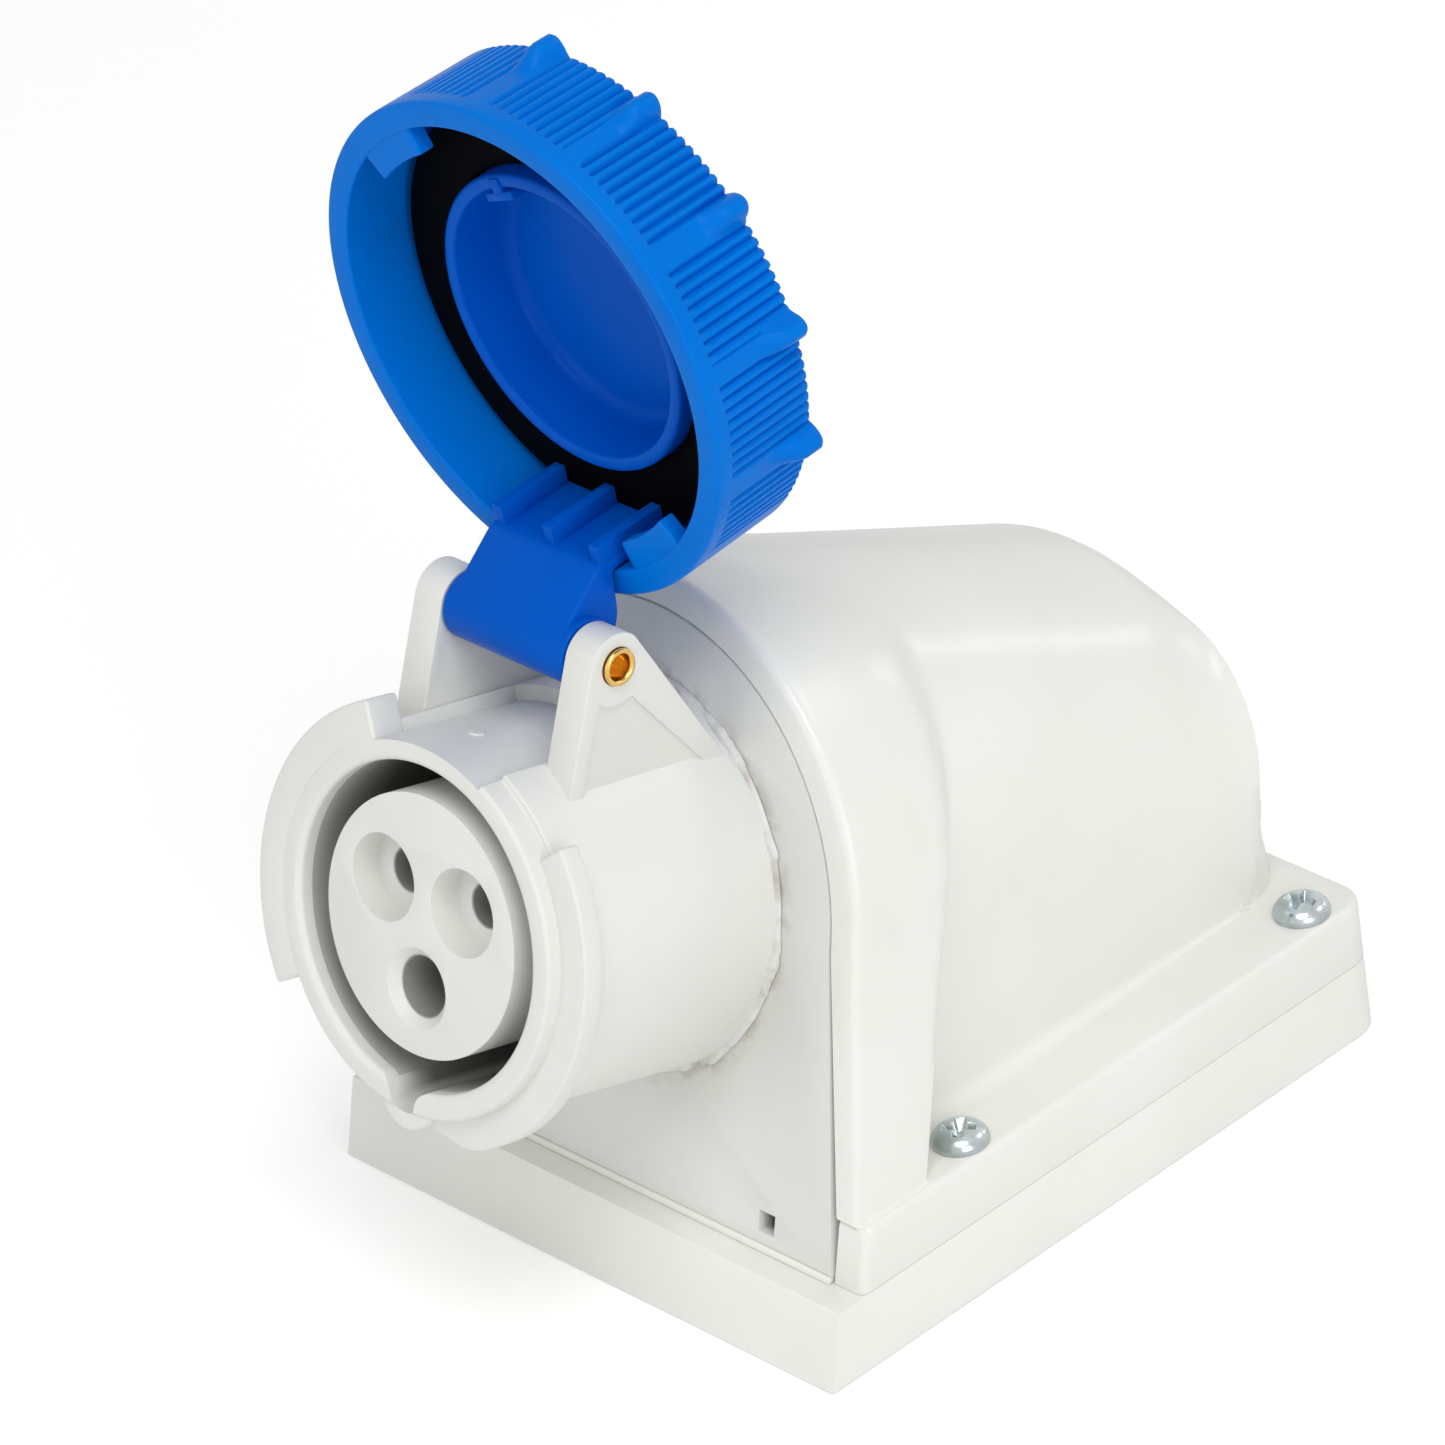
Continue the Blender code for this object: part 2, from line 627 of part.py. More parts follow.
def make_cover_screws():
    seat = FLANGE_TOP + GAP
    shank = SCREW_SHANK_RADIUS
    head = SCREW_HEAD_RADIUS
    tall = SCREW_HEAD_HEIGHT
    profile = [(0, tall), (0.55 * head, 0.92 * tall), (0.84 * head, 0.62 * tall), (head, 0.22 * tall),
               (head, 0), (shank, 0), (shank, SCREW_TIP - SCREW_LENGTH),
               (shank - SCREW_TIP, -SCREW_LENGTH), (0, -SCREW_LENGTH)]
    for number, (x, y) in enumerate(screw_places(), 1):
        screw = place("cover_screw_%d" % number, turned(profile, SMALL_STEPS, ring=False), ZINC,
                      location=(x, y, seat))
        arm = (RECESS_SPAN / 2, RECESS_WIDTH / 2, RECESS_DEPTH)
        for across, along in ((arm[0], arm[1]), (arm[1], arm[0])):
            cut(screw, box((-across, -along, tall - arm[2]), (across, along, 2 * tall)))


# Front plate and barrel

def make_front_plate():
    plate = place("front_plate", prism(d_outline(0.0, PLATE_FOOT), -PLATE_THICKNESS, 0), GREY, SOCKET)
    cut(plate, rod(BARREL_RADIUS + GAP, -2 * PLATE_THICKNESS, PLATE_THICKNESS, steps=ROUND_STEPS))
    half = LATCH_HOLE_SIZE / 2
    middle = Vector((LATCH_HOLE_X, LATCH_HOLE_HEIGHT - AXIS_HEIGHT, 0))
    reach = Vector((half, half, 2 * PLATE_THICKNESS))
    cut(plate, box(middle - reach, middle + reach))


def make_sealant_bead():
    inner = BARREL_RADIUS + GAP
    profile = [(inner, GAP), (inner, GAP + BEAD_HEIGHT), (inner + BEAD_WIDTH, GAP)]
    place("sealant_bead", turned(profile), SEALANT, SOCKET)


def make_barrel_seal():
    top = -PLATE_THICKNESS - GAP
    low = top - BARREL_SEAL_THICKNESS
    inner = BARREL_RADIUS + GAP
    profile = [(inner, low), (inner, top), (BARREL_FLANGE_RADIUS, top), (BARREL_FLANGE_RADIUS, low)]
    place("barrel_seal", turned(profile), RUBBER, SOCKET)


def ear_outline():
    """Side view of a hinge ear in (height, out) order: front edge, boss round the pin, rear brace."""
    front = BARREL_LENGTH - EAR_FRONT_FOOT
    boss = (HINGE_HEIGHT, HINGE_Z)
    brace = atan2(EAR_REAR_FOOT - boss[1], EAR_REAR_HEIGHT - boss[0])
    lean = atan2(front - boss[1] - EAR_BOSS_RADIUS, EAR_ROOT - boss[0])
    return ([(EAR_ROOT, front)]
            + arc(boss, EAR_BOSS_RADIUS, lean - pi / 2, brace + pi / 2, 12)
            + [(EAR_REAR_HEIGHT, EAR_REAR_FOOT), (EAR_ROOT, EAR_REAR_FOOT)])


def ear_panel():
    """The sunk triangle on an ear's outer face, a strip in from its edges."""
    front = BARREL_LENGTH - EAR_FRONT_FOOT - 2 * EAR_PANEL_STRIP
    low = EAR_REAR_HEIGHT + EAR_PANEL_STRIP
    return [(low, front), (HINGE_HEIGHT - EAR_BOSS_RADIUS - EAR_PANEL_STRIP, HINGE_Z),
            (low, EAR_REAR_FOOT + 4 * EAR_PANEL_STRIP)]


def make_socket_barrel():
    flange_top = -PLATE_THICKNESS - BARREL_SEAL_THICKNESS - 2 * GAP
    flange_low = flange_top - BARREL_FLANGE_THICKNESS
    web = INSERT_RADIUS + GAP
    web_top = WEB_FLOOR + WEB_THICKNESS
    profile = [(CAVITY_EDGE, BARREL_LENGTH), (MOUTH_RADIUS - MOUTH_ROUND, BARREL_LENGTH),
               (MOUTH_RADIUS, BARREL_LENGTH - MOUTH_ROUND), (BARREL_RADIUS, 0), (BARREL_RADIUS, flange_top),
               (BARREL_FLANGE_RADIUS, flange_top), (BARREL_FLANGE_RADIUS, flange_low),
               (CAVITY_RADIUS, flange_low), (CAVITY_RADIUS, WEB_FLOOR), (web, WEB_FLOOR), (web, web_top),
               (CAVITY_RADIUS, web_top), (CAVITY_RADIUS, BARREL_LENGTH - MOUTH_CHAMFER)]
    barrel = place("socket_barrel", turned(profile), GREY, SOCKET)

    collar_top = BARREL_LENGTH - COLLAR_SETBACK
    collar_root = (CAVITY_RADIUS + MOUTH_RADIUS) / 2
    for start, end in (LEFT_ARC, RIGHT_ARC):
        shape = sector(collar_root, COLLAR_RADIUS, start, end, 18)
        join(barrel, prism(shape, collar_top - COLLAR_THICKNESS, collar_top))

    key_radius = CAVITY_RADIUS + KEY_DEPTH
    key_half = KEY_WIDTH / 2
    bump = key_half + KEY_WALL
    bump_y = -(key_radius - key_half)
    key_low = BARREL_LENGTH - KEY_LENGTH
    bump_start = asin((-collar_root - bump_y) / bump)
    shape = arc((0, bump_y), bump, bump_start, -pi - bump_start, 12)
    join(barrel, prism(shape, key_low, BARREL_LENGTH - MOUTH_ROUND))

    for side in (1, -1):
        low, high = sorted((side * EAR_INNER, side * EAR_OUTER))
        join(barrel, prism(ear_outline(), low, high, SIDE_VIEW))
        face = side * (EAR_OUTER - EAR_PANEL_DEPTH)
        low, high = sorted((face, side * 2 * EAR_OUTER))
        cut(barrel, prism(ear_panel(), low, high, SIDE_VIEW))

    recess_floor = CAVITY_RADIUS + TONGUE_RECESS_WALL
    shape = sector(recess_floor, BARREL_RADIUS, *TONGUE_RECESS, 12)
    recess_low = BARREL_LENGTH - TONGUE_RECESS_LENGTH
    cut(barrel, prism(shape, recess_low, BARREL_LENGTH + MOUTH_ROUND))

    groove = [(key_half, -CAVITY_RADIUS / 2)] + arc((0, bump_y), key_half, 0, -pi, 8) \
        + [(-key_half, -CAVITY_RADIUS / 2)]
    cut(barrel, prism(groove, key_low + KEY_WALL, BARREL_LENGTH + KEY_WALL))
    pin_line = Matrix.Translation((0, HINGE_HEIGHT, HINGE_Z)) @ ALONG_X
    cut(barrel, rod(HINGE_HOLE, -2 * EAR_OUTER, 2 * EAR_OUTER, pin_line))


def make_hinge_pin():
    end = EAR_OUTER + GAP + PIN_ROLL
    roll = EAR_OUTER + GAP
    half = [(PIN_RADIUS, roll), (PIN_ROLL_RADIUS, roll), (PIN_ROLL_RADIUS, end), (PIN_BORE, end)]
    profile = half + [(r, -x) for r, x in reversed(half)]
    mesh = turned(profile, SMALL_STEPS)
    mesh.transform(ALONG_X)
    place("hinge_pin", mesh, BRASS, SOCKET, (0, HINGE_HEIGHT, HINGE_Z))


# Insert and contacts

def contact_place(angle):
    return (CONTACT_CIRCLE * cos(angle), CONTACT_CIRCLE * sin(angle), 0)


def make_contact_insert():
    flange = CAVITY_RADIUS - 2 * GAP
    profile = [(0, INSERT_FACE), (INSERT_RADIUS - INSERT_EDGE, INSERT_FACE),
               (INSERT_RADIUS, INSERT_FACE - INSERT_EDGE), (INSERT_RADIUS, INSERT_FLANGE_TOP),
               (flange, INSERT_FLANGE_TOP), (flange, INSERT_FLANGE_BACK),
               (INSERT_HUB_RADIUS, INSERT_FLANGE_BACK), (INSERT_HUB_RADIUS, INSERT_BACK), (0, INSERT_BACK)]
    insert = place("contact_insert", turned(profile, ring=False), GREY, SOCKET)
    for angle, _, sleeve, entry, counterbored in CONTACTS.values():
        chamber = sleeve + BODY_STEP + GAP
        mouth = COUNTERBORE_RADIUS if counterbored else entry
        above = INSERT_FACE + INSERT_EDGE
        step = INSERT_FACE - COUNTERBORE_DEPTH
        hole = [(0, above), (mouth, above), (mouth, step), (entry, step), (entry, SLEEVE_TOP),
                (0, SLEEVE_TOP)]
        if not counterbored:
            del hole[2:4]
        spot = contact_place(angle)
        cut(insert, turned(hole, SMALL_STEPS, ring=False), location=spot)
        room = chamber / cos(pi / HIDDEN_STEPS)
        cut(insert, rod(room, INSERT_BACK - INSERT_EDGE, CHAMBER_TOP, steps=HIDDEN_STEPS), location=spot)
    pilot = (RETAINER_SCREW_RADIUS + GAP) / cos(pi / PILOT_STEPS)
    for angle in RETAINER_SCREW_ANGLES:
        spot = (RETAINER_SCREW_CIRCLE * cos(angle), RETAINER_SCREW_CIRCLE * sin(angle), 0)
        depth = INSERT_BACK + RETAINER_SCREW_LENGTH
        cut(insert, rod(pilot, INSERT_BACK - GAP, depth, steps=PILOT_STEPS), location=spot)


def make_insert_lock_ring():
    outer = CAVITY_RADIUS - GAP
    top = INSERT_FLANGE_BACK - GAP
    low = top - LOCK_RING_THICKNESS
    inner = outer - LOCK_RING_WIDTH
    profile = [(inner, low), (inner, top), (outer, top), (outer, low)]
    place("insert_lock_ring", turned(profile), GREY, SOCKET)


def make_contact(name, angle, pin, sleeve):
    bore = pin + PIN_CLEARANCE
    body = sleeve + BODY_STEP
    bore_end = SLEEVE_TOP - SLEEVE_BORE_LENGTH
    profile = [(0, bore_end), (bore, bore_end), (bore, SLEEVE_TOP), (sleeve, SLEEVE_TOP),
               (sleeve, BODY_TOP), (body, BODY_TOP), (body, INSERT_BACK),
               (TERMINAL_RADIUS, INSERT_BACK), (TERMINAL_RADIUS, TERMINAL_END),
               (WIRE_BORE_RADIUS, TERMINAL_END), (WIRE_BORE_RADIUS, TERMINAL_END + WIRE_BORE_DEPTH),
               (0, TERMINAL_END + WIRE_BORE_DEPTH)]
    spot = contact_place(angle)
    contact = place(name + "_contact", turned(profile, SMALL_STEPS, ring=False), BRASS, SOCKET, spot)

    clamp_z = TERMINAL_END + CLAMP_SCREW_FROM_END
    outwards = Matrix.Translation((0, 0, clamp_z)) @ Matrix.Rotation(angle, 4, "Z") @ ALONG_X
    cut(contact, rod(CLAMP_SCREW_RADIUS + GAP, 0, 2 * TERMINAL_RADIUS, outwards, 12))
    end = TERMINAL_RADIUS + CLAMP_SCREW_PROUD
    shank = rod(CLAMP_SCREW_RADIUS, WIRE_BORE_RADIUS / 2, end, outwards, 12)
    screw = place(name + "_clamp_screw", shank, ZINC, SOCKET, spot)
    half = CLAMP_SCREW_SLOT / 2
    cut(screw, box((-half, -end, end - CLAMP_SCREW_SLOT), (half, end, 2 * end), outwards))

    inner = sleeve + GAP
    top = SLEEVE_TOP - SPRING_SETBACK
    ring = [(inner, top - SPRING_WIDTH), (inner, top), (inner + SPRING_THICKNESS, top),
            (inner + SPRING_THICKNESS, top - SPRING_WIDTH)]
    spring = place(name + "_spring", turned(ring, SMALL_STEPS), ZINC, SOCKET, spot)
    slit = SPRING_SLIT / 2
    cut(spring, box((0, -slit, top - 2 * SPRING_WIDTH), (2 * inner, slit, top + SPRING_WIDTH)))


def make_contact_retainer():
    low = RETAINER_TOP - RETAINER_THICKNESS
    disc = rod(RETAINER_RADIUS, low, RETAINER_TOP, steps=ROUND_STEPS)
    retainer = place("contact_retainer", disc, GREY, SOCKET)
    for angle, *_ in CONTACTS.values():
        cut(retainer, rod(TERMINAL_RADIUS + GAP, low - RETAINER_THICKNESS, 0), location=contact_place(angle))
    head = RETAINER_HEAD_RADIUS
    shank = RETAINER_SCREW_RADIUS
    seat = low - GAP
    end = RETAINER_TOP + RETAINER_SCREW_LENGTH - RETAINER_THICKNESS
    profile = [(0, end), (shank, end), (shank, seat), (head, seat), (head, seat - RETAINER_HEAD_HEIGHT),
               (0, seat - RETAINER_HEAD_HEIGHT)]
    for number, angle in enumerate(RETAINER_SCREW_ANGLES, 1):
        spot = (RETAINER_SCREW_CIRCLE * cos(angle), RETAINER_SCREW_CIRCLE * sin(angle), 0)
        cut(retainer, rod(shank + GAP, low - RETAINER_THICKNESS, 0, steps=12), location=spot)
        place("retainer_screw_%d" % number, turned(profile, 12, ring=False), ZINC, SOCKET, spot)


# Lid

def make_lid_cap():
    disc_inner = GASKET_OUTER + GAP
    back = CUP_FLOOR + CUP_FLOOR_THICKNESS
    profile = [(0, back), (CUP_RADIUS, back), (CUP_RADIUS, LID_DISC_BACK), (LID_RADIUS, LID_DISC_BACK),
               (LID_RADIUS, LID_RIM_HEIGHT), (disc_inner, LID_RIM_HEIGHT), (disc_inner, GASKET_SEAT),
               (CUP_RADIUS, GASKET_SEAT), (CUP_RADIUS, -CUP_PROUD), (CUP_RADIUS - CUP_WALL, -CUP_PROUD),
               (CUP_RADIUS - CUP_WALL, CUP_FLOOR), (0, CUP_FLOOR)]
    cap = place("lid_cap", turned(profile, ring=False), BLUE, HINGE, MOUTH_FROM_HINGE)

    pin = (HINGE_HEIGHT, -HINGE_BEHIND_MOUTH)
    bend = (TONGUE_INNER, -TONGUE_BEND)
    arm = atan2(pin[1] - bend[1], pin[0] - bend[0])
    rear = (pin[0] + KNUCKLE_RADIUS * sin(arm), pin[1] - KNUCKLE_RADIUS * cos(arm))
    front = (pin[0] + KNUCKLE_RADIUS * cos(arm + pi / 2), pin[1] + KNUCKLE_RADIUS * sin(arm + pi / 2))
    clear = RING_FRONT - GAP
    root = (LID_RIM_HEIGHT + LID_DISC_BACK) / 2
    tongue = [(TONGUE_INNER, root), bend, rear, front, (RING_INNER, clear - GAP), (TONGUE_OUTER, clear),
              (TONGUE_OUTER, root)]
    join(cap, prism(tongue, -TONGUE_HALF, TONGUE_HALF, SIDE_VIEW))
    half = TONGUE_RIB_WIDTH / 2
    for x in TONGUE_RIB_X:
        join(cap, box((x - half, TONGUE_INNER - TONGUE_RIB_HEIGHT, -RING_REACH),
                      (x + half, (TONGUE_INNER + TONGUE_OUTER) / 2, -CUP_PROUD)))
    pin_line = Matrix.Translation((0, *pin)) @ ALONG_X
    knuckle = EAR_INNER - GAP
    join(cap, rod(KNUCKLE_RADIUS, -knuckle, knuckle, pin_line, 32))
    cut(cap, rod(HINGE_HOLE, -2 * knuckle, 2 * knuckle, pin_line))


def make_lid_gasket():
    inner = CUP_RADIUS + GAP
    top = GASKET_SEAT - GAP
    profile = [(inner, GAP), (inner, top), (GASKET_OUTER, top), (GASKET_OUTER, GAP)]
    place("lid_gasket", turned(profile), RUBBER, HINGE, MOUTH_FROM_HINGE)


def make_locking_ring():
    lip = LID_DISC_BACK + GAP
    profile = [(RING_INNER, RING_FRONT), (RING_OUTER - RING_EDGE, RING_FRONT),
               (RING_OUTER, RING_FRONT + RING_EDGE), (RING_BACK_OUTER, RING_BACK - RING_EDGE),
               (RING_BACK_OUTER - RING_EDGE, RING_BACK), (RING_LIP_INNER, RING_BACK),
               (RING_LIP_INNER, lip), (RING_INNER, lip)]
    ring = place("locking_ring", turned(profile), BLUE, RING_AXIS)

    root = (RING_INNER + RING_BACK_OUTER) / 2
    lug_low = RING_FRONT + LUG_SETBACK
    for side in (0, pi):
        middle = LUG_REST_ANGLE + side
        shape = sector(LUG_INNER, root, middle - LUG_HALF_ANGLE, middle + LUG_HALF_ANGLE, 5)
        join(ring, prism(shape, lug_low, lug_low + LUG_THICKNESS))

    tip = RING_BACK_OUTER + GRIP_HEIGHT
    grip_back = RING_BACK - GRIP_BACK_INSET
    grip = [(root, -GRIP_START), (RING_OUTER - RING_EDGE, -GRIP_START), (tip, grip_back - GRIP_BACK_INSET),
            (tip, grip_back), (root, grip_back)]
    upright = Matrix(((1, 0, 0, 0), (0, 0, -1, 0), (0, 1, 0, 0), (0, 0, 0, 1)))
    for side in (0, pi):
        for number in range(GRIPS_PER_SIDE):
            angle = GRIP_MIDDLE + side + GRIP_PITCH * (number - (GRIPS_PER_SIDE - 1) / 2)
            join(ring, prism(grip, -GRIP_WIDTH / 2, GRIP_WIDTH / 2, Matrix.Rotation(angle, 4, "Z") @ upright))


make_back_box()
make_base_seal()
make_cable_grommet()
make_hood()
make_cover_screws()
make_front_plate()
make_sealant_bead()
make_barrel_seal()
make_socket_barrel()
make_hinge_pin()
make_contact_insert()
make_insert_lock_ring()
for contact_name, (contact_angle, contact_pin, contact_sleeve, *_) in CONTACTS.items():
    make_contact(contact_name, contact_angle, contact_pin, contact_sleeve)
make_contact_retainer()
make_lid_cap()
make_lid_gasket()
make_locking_ring()
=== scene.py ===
# %% [markdown]
# # A wall socket with a hinged lid, dressed for the studio
#
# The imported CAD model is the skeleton: every piece below is placed in its frame, in metres, and rides on
# one of its bodies. The CAD solids are right in size but have sharp edges and flat colours. This lesson
# rebuilds what the eye lands on, which is the hood, the lid and the socket, and gives every surface a finish.

# %% Load the frame
import json
from math import asin, cos, pi, radians, sin, tan

import bmesh
import bpy
from mathutils import Matrix, Vector, noise


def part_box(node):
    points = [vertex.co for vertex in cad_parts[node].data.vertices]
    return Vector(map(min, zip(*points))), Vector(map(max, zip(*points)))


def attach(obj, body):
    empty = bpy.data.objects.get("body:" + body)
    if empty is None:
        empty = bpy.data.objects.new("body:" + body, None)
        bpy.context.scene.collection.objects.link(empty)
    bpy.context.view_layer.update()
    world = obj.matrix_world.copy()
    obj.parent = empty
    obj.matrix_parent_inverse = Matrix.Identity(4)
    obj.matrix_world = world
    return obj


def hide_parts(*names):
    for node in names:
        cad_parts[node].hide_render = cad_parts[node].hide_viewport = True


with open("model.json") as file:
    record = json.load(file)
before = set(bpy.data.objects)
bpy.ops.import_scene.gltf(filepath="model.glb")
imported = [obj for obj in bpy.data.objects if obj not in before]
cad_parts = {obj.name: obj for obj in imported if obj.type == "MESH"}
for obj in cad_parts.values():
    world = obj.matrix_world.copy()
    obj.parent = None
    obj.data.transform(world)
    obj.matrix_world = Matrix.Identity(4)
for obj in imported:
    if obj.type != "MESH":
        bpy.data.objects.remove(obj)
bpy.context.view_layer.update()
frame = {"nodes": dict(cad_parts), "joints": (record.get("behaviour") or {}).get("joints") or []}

scene = bpy.context.scene
MM = 0.001


def mesh_of(name, bm):
    """A new mesh with the shape of a bmesh, which is freed."""
    mesh = bpy.data.meshes.new(name)
    bm.to_mesh(mesh)
    bm.free()
    return mesh


def linked(name, data):
    """A new object in the scene."""
    made = bpy.data.objects.new(name, data)
    scene.collection.objects.link(made)
    return made


# %% [markdown]
# ## Three frames to model in
#
# The front of the housing leans back, so the socket has a slanted axis of its own. It is much easier to turn
# a barrel about Z and move it into place than to turn it about a slanted line. One matrix takes the socket's
# own frame to the world, a second one is for the hinge, and a third for the lid, which is modelled shut and
# hangs open.

# %% Socket and lid frames
SLANT = radians(15.5)
LID_OPEN = radians(161.3)
AXIS_HEIGHT = 57.3 * MM
FRONT_Y = -50 * MM
FLANGE_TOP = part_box("hood")[0].z + 9 * MM
BOX_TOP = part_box("back_box")[1].z
MOUTH = 39.7 * MM
HINGE_HEIGHT, HINGE_BACK = 38.4 * MM, 17.3 * MM

socket_frame = (Matrix.Translation((0, FRONT_Y + AXIS_HEIGHT * sin(SLANT), AXIS_HEIGHT * cos(SLANT)))
                @ Matrix.Rotation(pi / 2 - SLANT, 4, "X"))
hinge_frame = socket_frame @ Matrix.Translation((0, HINGE_HEIGHT, MOUTH - HINGE_BACK))
lid_frame = (hinge_frame @ Matrix.Rotation(-LID_OPEN, 4, "X")
             @ Matrix.Translation((0, -HINGE_HEIGHT, HINGE_BACK)))
pin_joint = next(j for j in frame["joints"] if j["name"] == "lid_hinge")
print("hinge line off the CAD joint by", (hinge_frame.translation - Vector(pin_joint["pos_m"])).length)

# %% [markdown]
# ## The camera
#
# The photograph was taken from the front right and above, with a long lens and a slight roll. The numbers
# come from matching known corners of the object, so the render lies over the photograph.

# %% Camera
CAMERA_TURN, CAMERA_RISE, CAMERA_ROLL = radians(50.3), radians(31.37), radians(-8.5)
CAMERA_TARGET = Vector((-0.0191, 0, 0.0526))
CAMERA_DISTANCE = 1.3286
LENS, SENSOR = 242.44, 36

camera = linked("camera", bpy.data.cameras.new("camera"))
bpy.context.scene.camera = camera
camera.data.sensor_width = SENSOR
camera.data.lens = LENS
camera.data.clip_end = 20
back = Vector((sin(CAMERA_TURN) * cos(CAMERA_RISE), -cos(CAMERA_TURN) * cos(CAMERA_RISE), sin(CAMERA_RISE)))
level = Vector((cos(CAMERA_TURN), sin(CAMERA_TURN), 0))
upright = back.cross(level)
across = level * cos(CAMERA_ROLL) + upright * sin(CAMERA_ROLL)
above = upright * cos(CAMERA_ROLL) - level * sin(CAMERA_ROLL)
turn = Matrix((across, above, back)).transposed().to_4x4()
camera.matrix_world = Matrix.Translation(CAMERA_TARGET + back * CAMERA_DISTANCE) @ turn
print("camera at", tuple(round(v, 3) for v in camera.location))

# %% [markdown]
# ## Floor, backdrop and light
#
# Product photographs of pale plastic are lit from all round, with one broad lamp a little stronger than the
# rest so that the shapes still read. The floor is a big white sheet, and the world is white for the camera
# and for reflections, so that the background needs no extra light on the object.

# %% Stage and lamps
FLOOR_HALF = 3.0
FLOOR_DROP = 0.2 * MM
MIDDLE = Vector((0, 0, 0.08))

bm = bmesh.new()
bmesh.ops.create_grid(bm, x_segments=1, y_segments=1, size=FLOOR_HALF)
floor = linked("floor", mesh_of("floor", bm))
floor.location.z = -FLOOR_DROP


def lamp(name, place, size, watts):
    """A round soft lamp that looks at the middle of the object."""
    made = linked(name, bpy.data.lights.new(name, "AREA"))
    made.data.shape = "DISK"
    made.data.size = size
    made.data.energy = watts
    made.location = place
    made.rotation_euler = (MIDDLE - Vector(place)).to_track_quat("-Z", "Y").to_euler()


lamp("key", (0.55, -0.45, 1.40), 0.8, 7.4)
lamp("side", (1.42, -0.50, 0.62), 0.9, 5.9)
lamp("front", (-0.35, -1.5, 0.55), 1.0, 2.9)
lamp("shoulder", (0.45, 0.96, 0.91), 0.35, 1.2)
lamp("glint", (0.12, 1.25, 0.45), 0.08, 0.22)

# %% [markdown]
# ## Sums on sockets
#
# A finish is a small network of nodes. Written node by node it is long and hard to read, so one class wraps a
# socket: adding or multiplying two of them adds the Math node, and `node` makes any other kind.


# %% Node arithmetic
class Wire:
    """A node tree, or one output socket in it, that can take part in sums."""

    def __init__(self, tree, socket=None):
        self.tree = tree
        self.socket = socket

    def node(self, kind, settings=None, links=None, output=0):
        """Add a node, set its properties, set or link its inputs, and give one of its outputs."""
        made = self.tree.nodes.new(kind)
        for key, value in (settings or {}).items():
            setattr(made, key, value)
        self.join(made.inputs, links or {})
        return Wire(self.tree, made.outputs[output])

    def join(self, inputs, values):
        """Link each input to a wire, or set it to a constant."""
        for key, value in values.items():
            if isinstance(value, Wire):
                self.tree.links.new(value.socket, inputs[key])
            else:
                inputs[key].default_value = value

    def maths(self, operation, first, second=0.0):
        """A Math node on one value or two."""
        return self.node("ShaderNodeMath", {"operation": operation}, {0: first, 1: second})

    def __add__(self, other):
        return self.maths("ADD", self, other)

    __radd__ = __add__

    def __mul__(self, other):
        return self.maths("MULTIPLY", self, other)

    __rmul__ = __mul__

    def __sub__(self, other):
        return self.maths("SUBTRACT", self, other)

    def __rsub__(self, other):
        return self.maths("SUBTRACT", other, self)

    def ramp(self, low, high):
        """0 below low, 1 above high, straight between."""
        return self.node("ShaderNodeMapRange", {"clamp": True},
                         {"Value": self, "From Min": low, "From Max": high})

    def tint(self, first, second):
        """A colour that goes from first to second with this value."""
        first = first if isinstance(first, Wire) else (*first, 1.0)
        second = second if isinstance(second, Wire) else (*second, 1.0)
        return self.node("ShaderNodeMix", {"data_type": "RGBA"}, {0: self, 6: first, 7: second}, 2)


def grain(start, scale, detail=2.0, rough=0.5):
    """Noise on the object's own coordinates; scale is about one over the size of a blotch in metres."""
    place = start.node("ShaderNodeTexCoord", output="Object")
    return start.node("ShaderNodeTexNoise", None,
                      {"Vector": place, "Scale": scale, "Detail": detail, "Roughness": rough})


def bumped(start, height, depth, strength=1.0):
    """A normal from a height that runs from 0 to 1 over a depth in metres."""
    return start.node("ShaderNodeBump", None, {"Height": height, "Distance": depth, "Strength": strength})


def finish(name):
    """An empty material: its first wire and its surface shader."""
    made = bpy.data.materials.new(name)
    made.use_nodes = True
    shader = made.node_tree.nodes["Principled BSDF"]
    return made, Wire(made.node_tree), shader


def feed(start, shader, **inputs):
    """Set or link the shader's sockets; an underscore stands for a space."""
    start.join(shader.inputs, {key.replace("_", " "): value for key, value in inputs.items()})


print("node arithmetic ready")

# %% [markdown]
# ## Moulded plastic
#
# The housing is glossy off-white plastic, the socket a slightly greyer one, and the lid is blue. The lid's
# cap is a darker copy of the ring's blue, which is painted shade for the inside of the cup. None of them is
# perfectly even: the colour drifts by a few percent, the gloss has faint flow marks from the mould, and
# handling leaves some grime. All come from one function with different colours. Two of them carry marks by
# place: the plate is stained round the barrel, and the keyway has painted shade inside, as deep corners of
# pale plastic are dark. A dark grey from the same function is painted shade that lines the holes of the
# insert. A last finish paints shade that deepens with depth, on a sheet in the bore.


# %% Plastic finishes
def socket_place(start):
    """Where a point lies in the socket's own frame: sideways, up, and out along its axis."""
    place = start.node("ShaderNodeTexCoord", output="Object")
    x, y, z = (start.node("ShaderNodeSeparateXYZ", None, {"Vector": place}, k) for k in range(3))
    origin = socket_frame.translation
    up = (y - origin.y) * sin(SLANT) + (z - origin.z) * cos(SLANT)
    out = (z - origin.z) * sin(SLANT) - (y - origin.y) * cos(SLANT)
    return x, up, out


def tide_mark(start):
    """Where the plate is stained, in patches close round the barrel."""
    x, up, _ = socket_place(start)
    near = 1 - start.maths("SQRT", x * x + up * up).ramp(28.2 * MM, 30.6 * MM)
    patches = grain(start, 190.0, 4.0, 0.6).ramp(0.47, 0.60)
    return near * patches * 0.5


